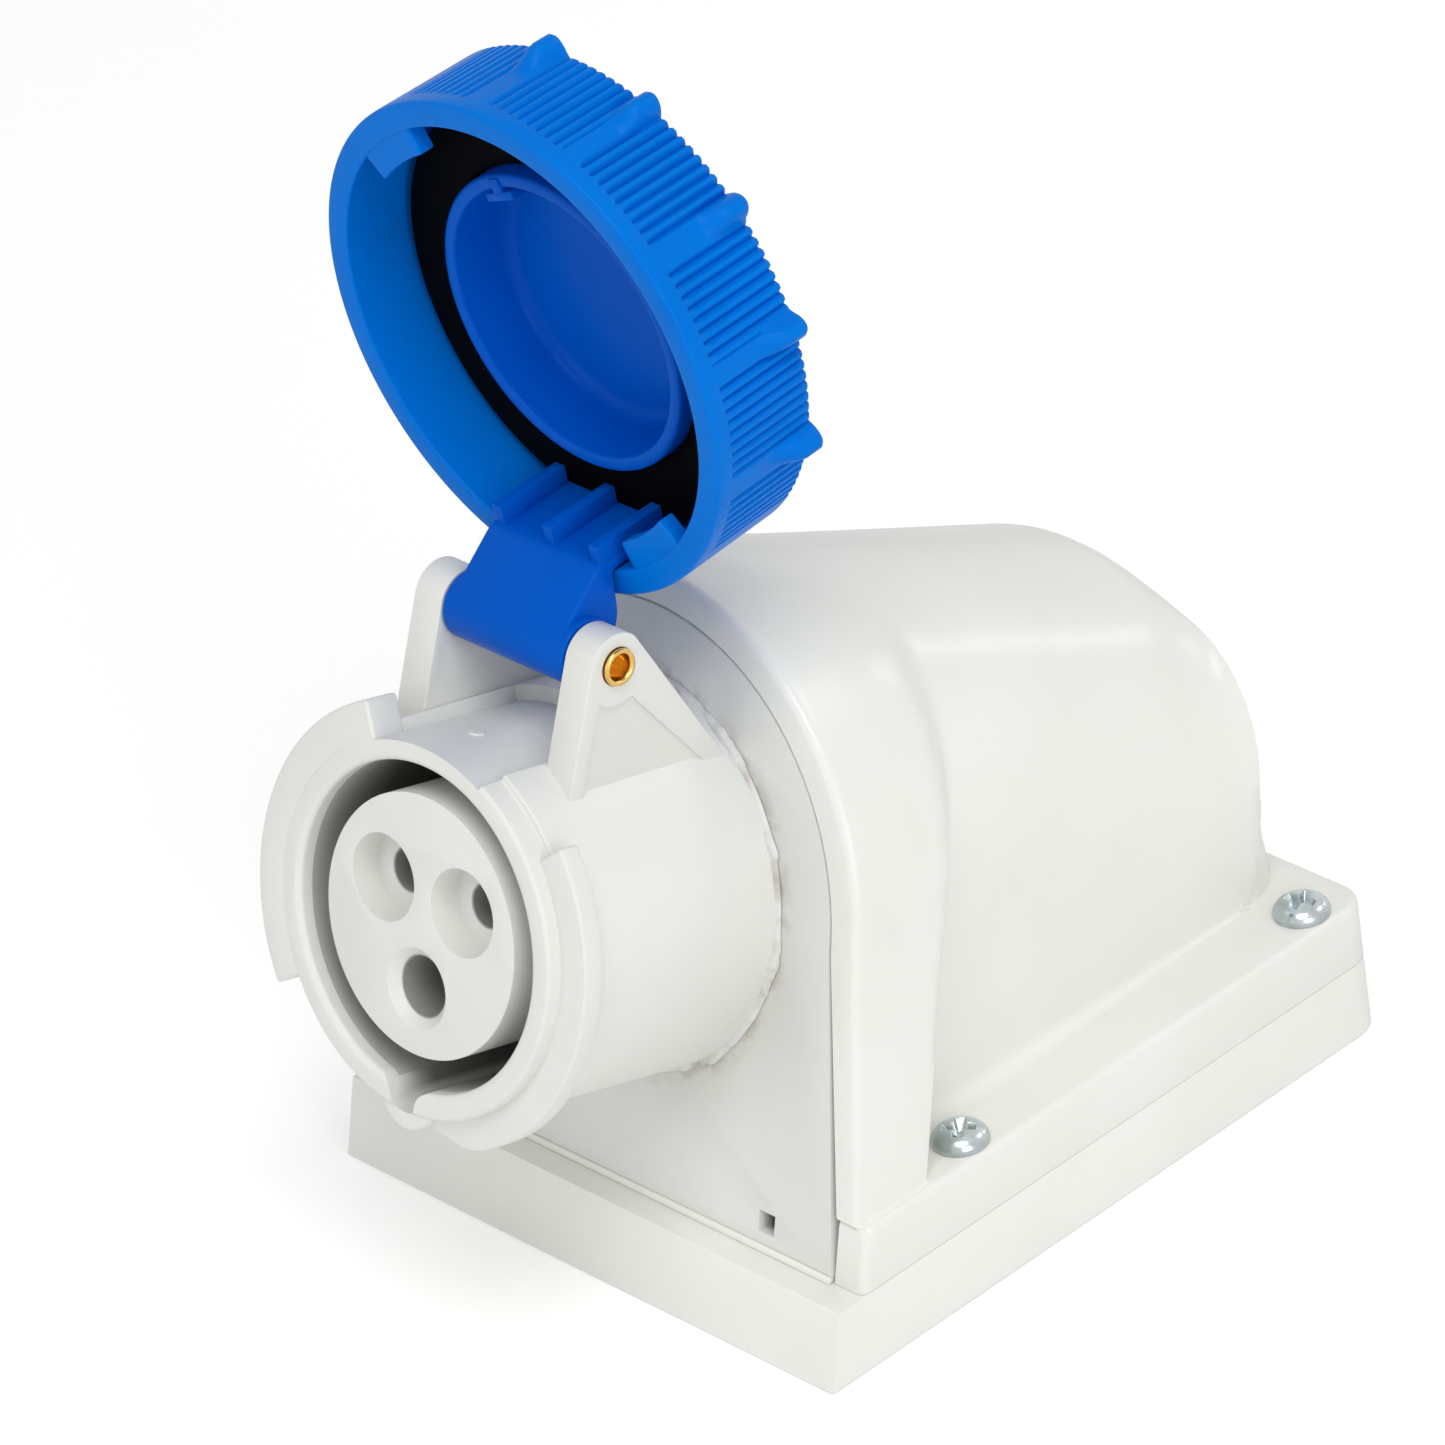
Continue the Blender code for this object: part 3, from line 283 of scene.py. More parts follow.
def keyway_shade(start):
    """Where shade is painted deep in the keyway, where little light reaches into the barrel."""
    x, up, out = socket_place(start)
    deep = 1 - out.ramp(MOUTH - 8 * MM, MOUTH - 1.5 * MM)
    low = 1 - up.ramp(-20.8 * MM, -20.2 * MM)
    inside = up.ramp(-25.2 * MM, -24.2 * MM) * (1 - start.maths("ABSOLUTE", x).ramp(5.5 * MM, 5.8 * MM))
    return deep * low * inside


def plastic(name, colour, drift, gloss, dust, shine=0.5, stains_and_shade=None, tone=None):
    """Moulded plastic: colour drifts towards drift, gloss is roughness, dust is grime, shine is reflection.
    Where a given mask function says so, it takes on a tone: a real stain on the plate, painted shade in the
    keyway."""
    made, start, shader = finish(name)
    broad = grain(start, 38.0, 3.0)
    flow = grain(start, 260.0, 4.0, 0.6)
    fine = grain(start, 2600.0, 2.0)
    grime = grain(start, 120.0, 6.0, 0.65).ramp(0.60, 0.80)
    even = broad.ramp(0.3, 0.7).tint(colour, drift)
    grey = tuple(0.62 * c for c in colour)
    body = (grime * dust).tint(even, grey)
    if stains_and_shade:
        body = stains_and_shade(start).tint(body, tone)
    feed(start, shader, Base_Color=body, Roughness=gloss + flow * 0.10,
         Normal=bumped(start, flow * 0.75 + fine * 0.25, 0.06 * MM, 0.55), IOR=1.46, Specular_IOR_Level=shine)
    return made


housing_white = plastic("housing_white_gloss", (0.79, 0.795, 0.745), (0.825, 0.83, 0.785), 0.20, 0.10)
plate_white = plastic("plate_white_satin", (0.69, 0.695, 0.66), (0.73, 0.735, 0.70), 0.36, 0.14,
                      stains_and_shade=tide_mark, tone=(0.40, 0.33, 0.24))
# In the keyway the socket grey takes a dark tone, which is painted shade.
socket_grey = plastic("socket_grey_satin", (0.74, 0.745, 0.705), (0.78, 0.785, 0.745), 0.34, 0.08,
                      stains_and_shade=keyway_shade, tone=(0.24, 0.24, 0.235))
# A dark grey for tubes inside the insert's holes: painted shade.
hole_painted_shade = plastic("hole_painted_shade_satin", (0.33, 0.33, 0.32), (0.37, 0.37, 0.36), 0.40, 0.10)
ring_blue = plastic("ring_blue_gloss", (0.0, 0.156, 0.630), (0.0, 0.174, 0.685), 0.26, 0.02, 0.05)
# The cap is a darker copy of the ring's blue: painted shade for the inside of the cup.
shaded_cap_blue = plastic("cap_blue_painted_shade_gloss", (0.0, 0.090, 0.515), (0.0, 0.104, 0.565), 0.24, 0.0, 0.05)


def bore_shade_finish(name, mouth, deep):
    """Satin grey with painted shade that darkens from the mouth of the socket to a depth inside it."""
    made, start, shader = finish(name)
    out = socket_place(start)[2]
    drift = grain(start, 90.0, 3.0) * 0.06
    shade = out.ramp(deep, mouth) * 0.94 + drift
    feed(start, shader, Base_Color=shade.tint((0.13, 0.128, 0.12), (0.46, 0.465, 0.46)),
         Roughness=0.40 + drift, Normal=bumped(start, grain(start, 900.0, 3.0), 0.05 * MM, 0.5))
    return made


# Painted shade for the sheet in the bore, darker with depth.
bore_painted_shade = bore_shade_finish("bore_painted_shade_satin", MOUTH - 2.5 * MM, MOUTH - 13.5 * MM)
print("plastics:", [m.name for m in bpy.data.materials if "_gloss" in m.name or "_satin" in m.name])

# %% [markdown]
# ## Rubber, brass, zinc and sealant
#
# Rubber is nearly black, dull, and shows specks of talc. The pin is bright rolled brass, and the contacts are
# plated. The screws are zinc, a cool grey with fine turning marks. The sealant is a rough whitish bead with
# brown blotches. Each is noise at two or three sizes on one shader, so no pictures are needed.


# %% Other finishes
def rubber(name):
    """Dull black with a few pale specks."""
    made, start, shader = finish(name)
    fine = grain(start, 1900.0, 3.0)
    talc = grain(start, 1500.0, 2.0).ramp(0.74, 0.80) * grain(start, 90.0, 2.0).ramp(0.45, 0.7)
    feed(start, shader, Base_Color=(talc * 0.35).tint((0.001, 0.001, 0.001), (0.30, 0.30, 0.30)),
         Roughness=0.50 + fine * 0.25, Normal=bumped(start, fine, 0.08 * MM, 0.6), Specular_IOR_Level=0.03)
    return made


def metal(name, colour, worn, gloss, scale):
    """Polished metal with worn patches; scale sets how fine its marks are."""
    made, start, shader = finish(name)
    broad = grain(start, 300.0, 4.0, 0.6)
    fine = grain(start, scale, 3.0)
    feed(start, shader, Base_Color=broad.ramp(0.35, 0.7).tint(colour, worn), Metallic=1.0,
         Roughness=gloss + broad * 0.16, Normal=bumped(start, fine, 0.04 * MM, 0.5))
    return made


def bead_finish(name):
    """Lumpy whitish sealant with brown blotches."""
    made, start, shader = finish(name)
    lumps = grain(start, 700.0, 5.0, 0.65)
    stain = grain(start, 160.0, 3.0).ramp(0.5, 0.68)
    feed(start, shader, Base_Color=(stain * 0.7).tint((0.74, 0.74, 0.71), (0.42, 0.37, 0.30)),
         Roughness=0.42 + lumps * 0.25, Normal=bumped(start, lumps, 0.35 * MM, 0.9))
    return made


black_rubber = rubber("black_rubber_matt")
pin_brass = metal("pin_brass_bright", (0.90, 0.60, 0.20), (0.74, 0.46, 0.14), 0.14, 1500.0)
contact_plated = metal("contact_nickel_plated", (0.60, 0.60, 0.58), (0.48, 0.47, 0.45), 0.34, 1500.0)
screw_zinc = metal("screw_zinc_plated", (0.58, 0.635, 0.64), (0.40, 0.455, 0.46), 0.13, 2200.0)
sealant = bead_finish("sealant_rough")
print("materials:", len(bpy.data.materials))

# %% [markdown]
# ## Small shaping tools
#
# Most pieces below start from a flat outline, because that is how a moulded or turned part is drawn. An
# outline point may carry a radius, and the corner is then rounded with a vertex bevel. From there the outline
# is either pulled into a block or turned about an axis, and its edges are softened so that they catch the
# light. A bevel leaves its vertices in an order that differs from run to run, so they are sorted afterwards.


# %% Outlines
SORT_SCALE = 1e8
MERGE, BIT, ON_AXIS = 1e-6, 1e-7, 1e-9


def in_order(bm):
    """Sort the vertices and faces by place, so that every run gives the same mesh."""
    verts = sorted(bm.verts, key=lambda v: tuple(round(c * SORT_SCALE) for c in v.co))
    number = {v: k for k, v in enumerate(verts)}
    loops = []
    for face in bm.faces:
        loop = [number[v] for v in face.verts]
        first = loop.index(min(loop))
        loops.append(loop[first:] + loop[:first])
    places = [v.co.copy() for v in verts]
    bm.clear()
    made = [bm.verts.new(place) for place in places]
    for loop in sorted(loops):
        bm.faces.new([made[k] for k in loop])
    bm.normal_update()
    return bm


def outline(points, segments=5):
    """A bmesh with one face through (x, y) or (x, y, corner radius) points."""
    bm = bmesh.new()
    corners = [bm.verts.new((p[0], p[1], 0)) for p in points]
    bm.faces.new(corners)
    for radius in sorted({p[2] for p in points if len(p) > 2}):
        chosen = [v for v, p in zip(corners, points) if len(p) > 2 and p[2] == radius]
        bmesh.ops.bevel(bm, geom=chosen, offset=radius, segments=segments, profile=0.5, affect="VERTICES",
                        material=-1)
    return in_order(bm)


def oblong(left, right, low, high):
    """The corners of a rectangle."""
    return [(left, low), (right, low), (right, high), (left, high)]


def tidy(bm):
    """Merge double vertices, drop faces without area, and turn the faces outward."""
    bmesh.ops.remove_doubles(bm, verts=bm.verts, dist=MERGE)
    bmesh.ops.dissolve_degenerate(bm, edges=bm.edges, dist=BIT)
    bmesh.ops.recalc_face_normals(bm, faces=bm.faces)
    return bm


def pulled(points, low, high, segments=5):
    """A block: an outline pulled from one height to another."""
    bm = outline(points, segments)
    bmesh.ops.translate(bm, vec=(0, 0, low), verts=bm.verts)
    made = bmesh.ops.extrude_face_region(bm, geom=bm.faces[:], use_keep_orig=True)["geom"]
    far = [g for g in made if isinstance(g, bmesh.types.BMVert)]
    bmesh.ops.translate(bm, vec=(0, 0, high - low), verts=far)
    return tidy(bm)


def turned(points, steps=128, start=0.0, sweep=2 * pi, segments=4):
    """A (radius, height) outline turned about Z, all round or from one angle to another."""
    bm = outline(points, segments)
    bmesh.ops.rotate(bm, verts=bm.verts, cent=(0, 0, 0), matrix=Matrix.Rotation(pi / 2, 3, "X"))
    bmesh.ops.rotate(bm, verts=bm.verts, cent=(0, 0, 0), matrix=Matrix.Rotation(start, 3, "Z"))
    whole = sweep >= 2 * pi - MERGE
    bmesh.ops.delete(bm, geom=bm.faces[:], context="FACES_ONLY")
    hub = [e for e in bm.edges if all(v.co.xy.length < ON_AXIS for v in e.verts)]
    bmesh.ops.delete(bm, geom=hub, context="EDGES")
    bmesh.ops.spin(bm, geom=bm.verts[:] + bm.edges[:], cent=(0, 0, 0), axis=(0, 0, 1), angle=sweep,
                   steps=steps, use_merge=whole)
    if not whole:
        bmesh.ops.holes_fill(bm, edges=[e for e in bm.edges if e.is_boundary], sides=0)
    return tidy(bm)


print("outlines ready")


# %% Softening, joining and carving
def soften(bm, width, segments=3, sharper=radians(32), where=None):
    """Round the edges that turn by more than an angle."""
    edges = [e for e in bm.edges if len(e.link_faces) == 2 and e.calc_face_angle() > sharper
             and (where is None or where(e))]
    bmesh.ops.bevel(bm, geom=edges, offset=width, segments=segments, profile=0.5, affect="EDGES", material=-1,
                    clamp_overlap=True)
    return in_order(bm)


def moved(bm, place):
    """The same shape, carried by a matrix."""
    bmesh.ops.transform(bm, matrix=place, verts=bm.verts)
    return bm


def together(*shapes):
    """One bmesh that holds several closed shapes."""
    whole = bmesh.new()
    for shape in shapes:
        loose = mesh_of("loose", shape)
        whole.from_mesh(loose)
        bpy.data.meshes.remove(loose)
    return whole


def carved(bm, *cutters, joined=()):
    """The shape with others joined to it, less the cutters, made with Boolean modifiers."""
    holders = [linked("carving", mesh_of("carving", in_order(shape))) for shape in (bm, *joined, *cutters)]
    for number, helper in enumerate(holders[1:]):
        step = holders[0].modifiers.new("carve", "BOOLEAN")
        step.operation = "UNION" if number < len(joined) else "DIFFERENCE"
        step.object = helper
        step.solver = "EXACT"
    graph = bpy.context.evaluated_depsgraph_get()
    result = bmesh.new()
    result.from_mesh(holders[0].evaluated_get(graph).to_mesh())
    for holder in holders:
        mesh = holder.data
        bpy.data.objects.remove(holder)
        bpy.data.meshes.remove(mesh)
    bmesh.ops.remove_doubles(result, verts=result.verts, dist=2 * MERGE)
    in_order(result)
    bmesh.ops.dissolve_limit(result, angle_limit=radians(0.5), verts=result.verts, edges=result.edges)
    return in_order(result)


def keep(name, bm, material, body, place=None, stands_for=(), crease=radians(40)):
    """Make a finished piece: in its place, smooth shaded, riding on a body."""
    if place:
        moved(bm, place)
    in_order(bm)
    bmesh.ops.recalc_face_normals(bm, faces=bm.faces)
    mesh = mesh_of(name, bm)
    mesh.shade_smooth()
    mesh.set_sharp_from_angle(angle=crease)
    mesh.materials.append(material)
    piece = linked(name, mesh)
    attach(piece, body)
    if stands_for:
        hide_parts(*stands_for)
    print(name, len(mesh.polygons), "faces")


print("shaping tools ready")

# %% [markdown]
# ## The hood
#
# The hood is the hardest shape: an arched front band, a soft step down to a narrower body, and a back that
# rolls over and lands on the flange. No primitive has that shape. Sections that fan round the foot, each an
# arch in a tilted plane, describe it well. Each section is a loop of vertices, `bridge_loops` skins the
# loops, and `solidify` gives the skin its wall.

# %% Hood sections
RIM_RADIUS = 42.2 * MM
RIM_FOOT = 46.4 * MM
BODY_FOOT = 36.0 * MM
BODY_SPRING = 34.7 * MM
ROOF_FALL = radians(23.5)
BACK_BEND = 10.0 * MM
BACK_Y = 53.4 * MM
BACK_CORNER = 12.0 * MM
CORNER_DELAY = 2.6
CROWN_RISE, CROWN_RAMP = 2.6 * MM, 12 * MM
FOOT_RUN = 46.0 * MM
BAND = 19.3 * MM
STEP = 8.0 * MM
WALL = 1.6 * MM
ARCH_POINTS, FILLET_POINTS, ROUND_STEPS = 36, 5, 24
NO_LENGTH = 1e-12


def resampled(points, count):
    """count points spaced evenly along a polyline."""
    lengths = [0.0]
    for a, b in zip(points, points[1:]):
        lengths.append(lengths[-1] + (b - a).length)
    found, i = [], 0
    for k in range(count):
        want = lengths[-1] * k / (count - 1)
        while i < len(points) - 2 and lengths[i + 1] < want:
            i += 1
        share = (want - lengths[i]) / max(lengths[i + 1] - lengths[i], NO_LENGTH)
        found.append(points[i].lerp(points[i + 1], share))
    return found


def arch(foot, top, foot_half, spring_half, radius, fillet):
    """A loop from the right foot over the top to the left foot, in the plane of the foot line and the top."""
    rise = top - foot
    height = rise.length
    rise.normalize()
    radius = min(radius, spring_half, height - 0.2 * MM)
    fillet = min(fillet, 0.4 * height)
    curve = [Vector((foot_half, fillet)), Vector((spring_half, height - radius))]
    for k in range(1, ROUND_STEPS + 1):
        a = pi / 2 * k / ROUND_STEPS
        curve.append(Vector((spring_half - radius + radius * cos(a), height - radius + radius * sin(a))))
    if radius < spring_half:
        curve.append(Vector((0, height)))
    half = []
    for k in range(FILLET_POINTS):
        a = pi / 2 * k / FILLET_POINTS
        half.append(Vector((foot_half + fillet * (1 - sin(a)), fillet * (1 - cos(a)))))
    half += resampled(curve, ARCH_POINTS)
    left = [Vector((-p.x, p.y)) for p in reversed(half[:-1])]
    return [foot + Vector((p.x, 0, 0)) + rise * p.y for p in half + left]


def smooth_step(t):
    """0 up to t = 0, 1 from t = 1, and smooth between."""
    t = min(max(t, 0.0), 1.0)
    return t * t * (3 - 2 * t)


print("hood sections take", 2 * (ARCH_POINTS + FILLET_POINTS) - 1, "points each")

# %% Hood skin
SINK = 0.05 * MM
foot_z = FLANGE_TOP - SINK
crown = AXIS_HEIGHT + RIM_RADIUS
front = Vector((0, FRONT_Y + crown * sin(SLANT), crown * cos(SLANT)))
foot_front = FRONT_Y + foot_z * tan(SLANT)
bend_y = BACK_Y - BACK_BEND
bend_z = front.z - (bend_y - front.y) * tan(ROOF_FALL) - BACK_BEND / cos(ROOF_FALL)
run = bend_y + BACK_BEND * sin(ROOF_FALL) - front.y
foot_back = BACK_Y - BACK_CORNER + 0.3 * MM
outward = Vector((0, -cos(SLANT), sin(SLANT)))

EDGE, EDGE_STEPS = 1.3 * MM, 4
SEAT = 3.4 * MM
PLATE_MARGIN = 4.98 * MM
CHAMFER = 0.35 * MM
RIM_LEAN = 0.87
RIM_FILLET = 0.3 * MM


def rim_section(shrink, behind):
    """The front arch drawn in by shrink and set behind the front plane."""
    foot = Vector((0, foot_front, foot_z)) - outward * behind
    top = front - Vector((0, sin(SLANT), cos(SLANT))) * shrink - outward * behind
    radius = RIM_RADIUS - shrink
    return arch(foot, top, RIM_FOOT - shrink * RIM_LEAN, radius, radius, RIM_FILLET)


sections = [rim_section(PLATE_MARGIN, SEAT), rim_section(PLATE_MARGIN, CHAMFER),
            rim_section(PLATE_MARGIN - CHAMFER, 0.0), rim_section((PLATE_MARGIN + EDGE) / 2, 0.0)]
for k in range(EDGE_STEPS + 1):
    a = pi / 2 * k / EDGE_STEPS
    sections.append(rim_section(EDGE * (1 - sin(a)), EDGE * (1 - cos(a))))


def crown_rise(along):
    """How far the roof swells above a straight line: most behind the rim, nothing at the back."""
    return CROWN_RISE * smooth_step(along / CROWN_RAMP) * (1 - along / run)


def roof_section(along):
    """The arch at a distance behind the front; it narrows from the band to the body."""
    step = smooth_step((along - BAND) / STEP)
    foot = Vector((0, foot_front + FOOT_RUN * along / run, foot_z))
    top = front + Vector((0, along, -along * tan(ROOF_FALL) + crown_rise(along)))
    spring = RIM_RADIUS + (BODY_SPRING - RIM_RADIUS) * step
    foot_half = RIM_FOOT + (BODY_FOOT - RIM_FOOT) * step
    return arch(foot, top, foot_half, spring, spring, (0.8 + 2.1 * step) * MM)


STATIONS = [3, 8, 14, 18, 20, 21, 22, 23, 24, 25, 26, 27, 28, 29, 31, 35, 41, 48, 55]
sections += [roof_section(s * MM) for s in STATIONS if s * MM < run] + [roof_section(run)]
BEND_STEPS, WALL_STEPS = 14, 4
foot_mid = foot_front + FOOT_RUN
for k in range(1, BEND_STEPS + WALL_STEPS + 1):
    bend = min(k / BEND_STEPS, 1.0)
    wall = max(k - BEND_STEPS, 0) / WALL_STEPS
    share = k / (BEND_STEPS + WALL_STEPS)
    angle = (pi / 2 - ROOF_FALL) * (1 - bend)
    foot = Vector((0, foot_mid + (foot_back - foot_mid) * bend, foot_z))
    top = Vector((0, bend_y + BACK_BEND * cos(angle),
                  bend_z + BACK_BEND * sin(angle) - (bend_z - foot_z) * wall))
    sections.append(arch(foot, top, BODY_FOOT, BODY_SPRING + (BODY_FOOT - BODY_SPRING) * share,
                         BODY_SPRING + (BACK_CORNER - BODY_SPRING) * share ** CORNER_DELAY,
                         2.9 * MM * (1 - share)))
print("hood sections:", len(sections))


# %% Bridge the hood
def skinned(loops):
    """Open loops of vertices, bridged one after another."""
    bm = bmesh.new()
    rows = []
    for points in loops:
        verts = [bm.verts.new(p) for p in points]
        rows.append([bm.edges.new(pair) for pair in zip(verts, verts[1:])])
    for before, after in zip(rows, rows[1:]):
        bmesh.ops.bridge_loops(bm, edges=before + after)
    bmesh.ops.recalc_face_normals(bm, faces=bm.faces)
    return bm


skin = skinned(sections)
crown_face = max(skin.faces, key=lambda f: f.calc_center_median().z)
if crown_face.normal.z < 0:
    bmesh.ops.reverse_faces(skin, faces=skin.faces)
bmesh.ops.solidify(skin, geom=skin.faces[:], thickness=WALL)
keep("hood_shell", skin, housing_white, "housing", stands_for=["hood"])

# %% [markdown]
# ## The flange under the hood
#
# Round the hood's foot runs a flat flange that takes the four screws. Seen from above it is a U, because the
# front plate reaches down through it. An outline pulled upwards gives the block. Its edges are rounded, its
# front is sheared to the slant of the housing, and the inside is carved out.

# %% Flange
HALF_WIDTH = 48 * MM
BOX_BACK = 54 * MM
FLANGE_LOW = BOX_TOP + 0.06 * MM
FRONT_ZONE = -20 * MM
FRONT_CORNER, BACK_ROUND = 1.4 * MM, 5 * MM
INSIDE_HALF, PLATE_HALF = 33 * MM, 42.65 * MM
BEYOND = 60 * MM
flange_front = FRONT_Y + 0.4 * MM
plan = [(HALF_WIDTH, flange_front, FRONT_CORNER), (HALF_WIDTH, BOX_BACK, BACK_ROUND),
        (-HALF_WIDTH, BOX_BACK, BACK_ROUND), (-HALF_WIDTH, flange_front, FRONT_CORNER)]
flange = pulled(plan, FLANGE_LOW, FLANGE_TOP, 8)
level_edges = [e for e in flange.edges if abs(e.verts[0].co.z - e.verts[1].co.z) < BIT]
top_edges = [e for e in level_edges if e.verts[0].co.z > FLANGE_TOP - MERGE]
low_edges = [e for e in level_edges if e.verts[0].co.z < FLANGE_LOW + MERGE]
for edges, width, segments in ((top_edges, 1.1 * MM, 4), (low_edges, 0.15 * MM, 2)):
    bmesh.ops.bevel(flange, geom=edges, offset=width, segments=segments, profile=0.5, affect="EDGES",
                    material=-1)
for v in flange.verts:
    if v.co.y < FRONT_ZONE:
        v.co.y += v.co.z * tan(SLANT)
inside = pulled(oblong(-INSIDE_HALF, INSIDE_HALF, -40 * MM, 49 * MM), 0, BEYOND)
plate_gap = pulled(oblong(-PLATE_HALF, PLATE_HALF, -BEYOND, -20 * MM), -7 * MM, 9 * MM)
keep("hood_flange", carved(flange, inside, moved(plate_gap, socket_frame)), housing_white, "housing",
     stands_for=["hood"])

# %% [markdown]
# ## The back box and the front plate
#
# Both have flat faces, and the CAD solids have their holes and cavities already. A copy of the CAD mesh is
# loose triangles, so its doubles are merged and its flat faces dissolved into polygons. Then a bevel on the
# sharp edges gives the moulded look. The edge where box and flange meet gets a narrower one.


# %% Softened copies of CAD solids
def merged_copy(node):
    """A CAD node's shape as merged polygons."""
    bm = bmesh.new()
    bm.from_mesh(frame["nodes"][node].data)
    bmesh.ops.remove_doubles(bm, verts=bm.verts, dist=MERGE)
    bmesh.ops.dissolve_limit(bm, angle_limit=radians(0.6), verts=bm.verts, edges=bm.edges)
    return bm


def at_parting(edge):
    """Whether an edge lies on the top of the box, where the flange meets it."""
    return all(v.co.z > BOX_TOP - 0.1 * MM for v in edge.verts)


tray = soften(merged_copy("back_box"), 0.5 * MM, where=lambda e: not at_parting(e))
soften(tray, 0.18 * MM, 2, where=at_parting)
keep("box_tray", tray, housing_white, "housing", stands_for=["back_box"])
keep("plate_panel", soften(merged_copy("front_plate"), 0.25 * MM, 2), plate_white, "housing",
     stands_for=["front_plate"])

# %% [markdown]
# ## The sill under the plate
#
# Between the plate and the box is a gap as thin as paper, and the black seal would show through it. A low bar
# with soft edges closes it. It is drawn from the side and has the slant of the front.


# %% Sill
def front_at(height):
    """Where the slanted front plane is at a height."""
    return FRONT_Y + height * tan(SLANT)


SILL_LOW, SILL_HIGH = BOX_TOP + 0.03 * MM, BOX_TOP + 0.95 * MM
SILL_HALF = 42.2 * MM
SILL_OUT, SILL_IN = 0.3 * MM, 1.0 * MM
SIDE_VIEW = Matrix(((0, 0, 1, 0), (1, 0, 0, 0), (0, 1, 0, 0), (0, 0, 0, 1)))
sill = pulled([(front_at(SILL_LOW) - SILL_OUT, SILL_LOW), (front_at(SILL_LOW) + SILL_IN, SILL_LOW),
               (front_at(SILL_HIGH) + SILL_IN, SILL_HIGH), (front_at(SILL_HIGH) - SILL_OUT, SILL_HIGH)],
              -SILL_HALF, SILL_HALF)
keep("plate_sill", soften(moved(sill, SIDE_VIEW), 0.2 * MM, 2), housing_white, "housing",
     stands_for=["front_plate"])

# %% [markdown]
# ## The socket barrel
#
# The barrel is a turned sleeve with a stepped mouth. Two collar arcs stand out near the mouth for the locking
# ring, a keyway with a bulge round it sits at the bottom, and two ears at the top carry the hinge pin. The
# sleeve, the arcs and the ears are closed shapes of their own with soft edges, kept together as one piece.

# %% Barrel sleeve
CAVITY = 22.4 * MM
SHOULDER = 36.0 * MM
KEY_CENTRE = -23.85 * MM
# The sleeve has a groove for the sheet of painted shade in the bore.
SHADE_SHEET_THICK = 0.5 * MM
SHADE_SHEET_END = MOUTH - 2.4 * MM
LEDGE_HOLE, LEDGE_LOW, LEDGE_HIGH = 18.3 * MM, 2 * MM, 4.4 * MM
ROOT, BRIM = 27.6 * MM, 32 * MM
BRIM_FRONT, BRIM_BACK = -5.1 * MM, -8.1 * MM
sleeve = turned([(LEDGE_HOLE, LEDGE_LOW), (LEDGE_HOLE, LEDGE_HIGH), (CAVITY + SHADE_SHEET_THICK, LEDGE_HIGH),
                 (CAVITY + SHADE_SHEET_THICK, SHADE_SHEET_END), (CAVITY, SHADE_SHEET_END), (CAVITY, MOUTH - 0.6 * MM, 0.3 * MM),
                 (CAVITY + 0.6 * MM, MOUTH, 0.4 * MM), (25.9 * MM, MOUTH, 0.6 * MM),
                 (26.0 * MM, SHOULDER, 0.25 * MM), (26.9 * MM, SHOULDER, 0.4 * MM), (ROOT, 0),
                 (ROOT, BRIM_FRONT), (BRIM, BRIM_FRONT), (BRIM, BRIM_BACK), (CAVITY, BRIM_BACK),
                 (CAVITY, LEDGE_LOW)], 180)
BULGE = 4.75 * MM
WALL_MIDDLE = 24.4 * MM
lean = asin((-WALL_MIDDLE - KEY_CENTRE) / BULGE)


def round_end(centre, radius, start, end, steps=14):
    """Points on an arc about a centre."""
    angles = [start + (end - start) * k / steps for k in range(steps + 1)]
    return [(centre[0] + radius * cos(a), centre[1] + radius * sin(a)) for a in angles]


bulge = pulled(round_end((0, KEY_CENTRE), BULGE, lean, -pi - lean, 24), 9.7 * MM, MOUTH - 0.45 * MM)
soften(bulge, 0.9 * MM, 4, radians(50), lambda e: all(v.co.y < KEY_CENTRE for v in e.verts))
KEY_HALF, KEY_ROUND = 2.2 * MM, 2.1 * MM
KEY_DEPTH = KEY_CENTRE - 2.3 * MM
LIP_HALF, LIP_HEIGHT, KEY_OPEN = 5.4 * MM, -21.3 * MM, -15 * MM
NECK_HEIGHT, NECK_ROUND = -23.4 * MM, 1.6 * MM
right_side = [(LIP_HALF, KEY_OPEN), (LIP_HALF, LIP_HEIGHT), (KEY_HALF, NECK_HEIGHT, NECK_ROUND),
              (KEY_HALF, KEY_DEPTH, KEY_ROUND)]
key_points = right_side + [(-p[0], *p[1:]) for p in reversed(right_side)]


def keyway():
    """A cutter for the keyway, from inside the barrel to beyond its mouth."""
    return pulled(key_points, 12 * MM, BEYOND, 8)


RECESS_FLOOR, RECESS_OUT = 25.2 * MM, 40 * MM
RECESS_BACK, RECESS_END = 14 * MM, 50 * MM
recess = turned(oblong(RECESS_FLOOR, RECESS_OUT, RECESS_BACK, RECESS_END), 24, radians(65), radians(48))
sleeve = carved(sleeve, keyway(), recess, joined=[bulge])
print("sleeve", len(sleeve.faces))

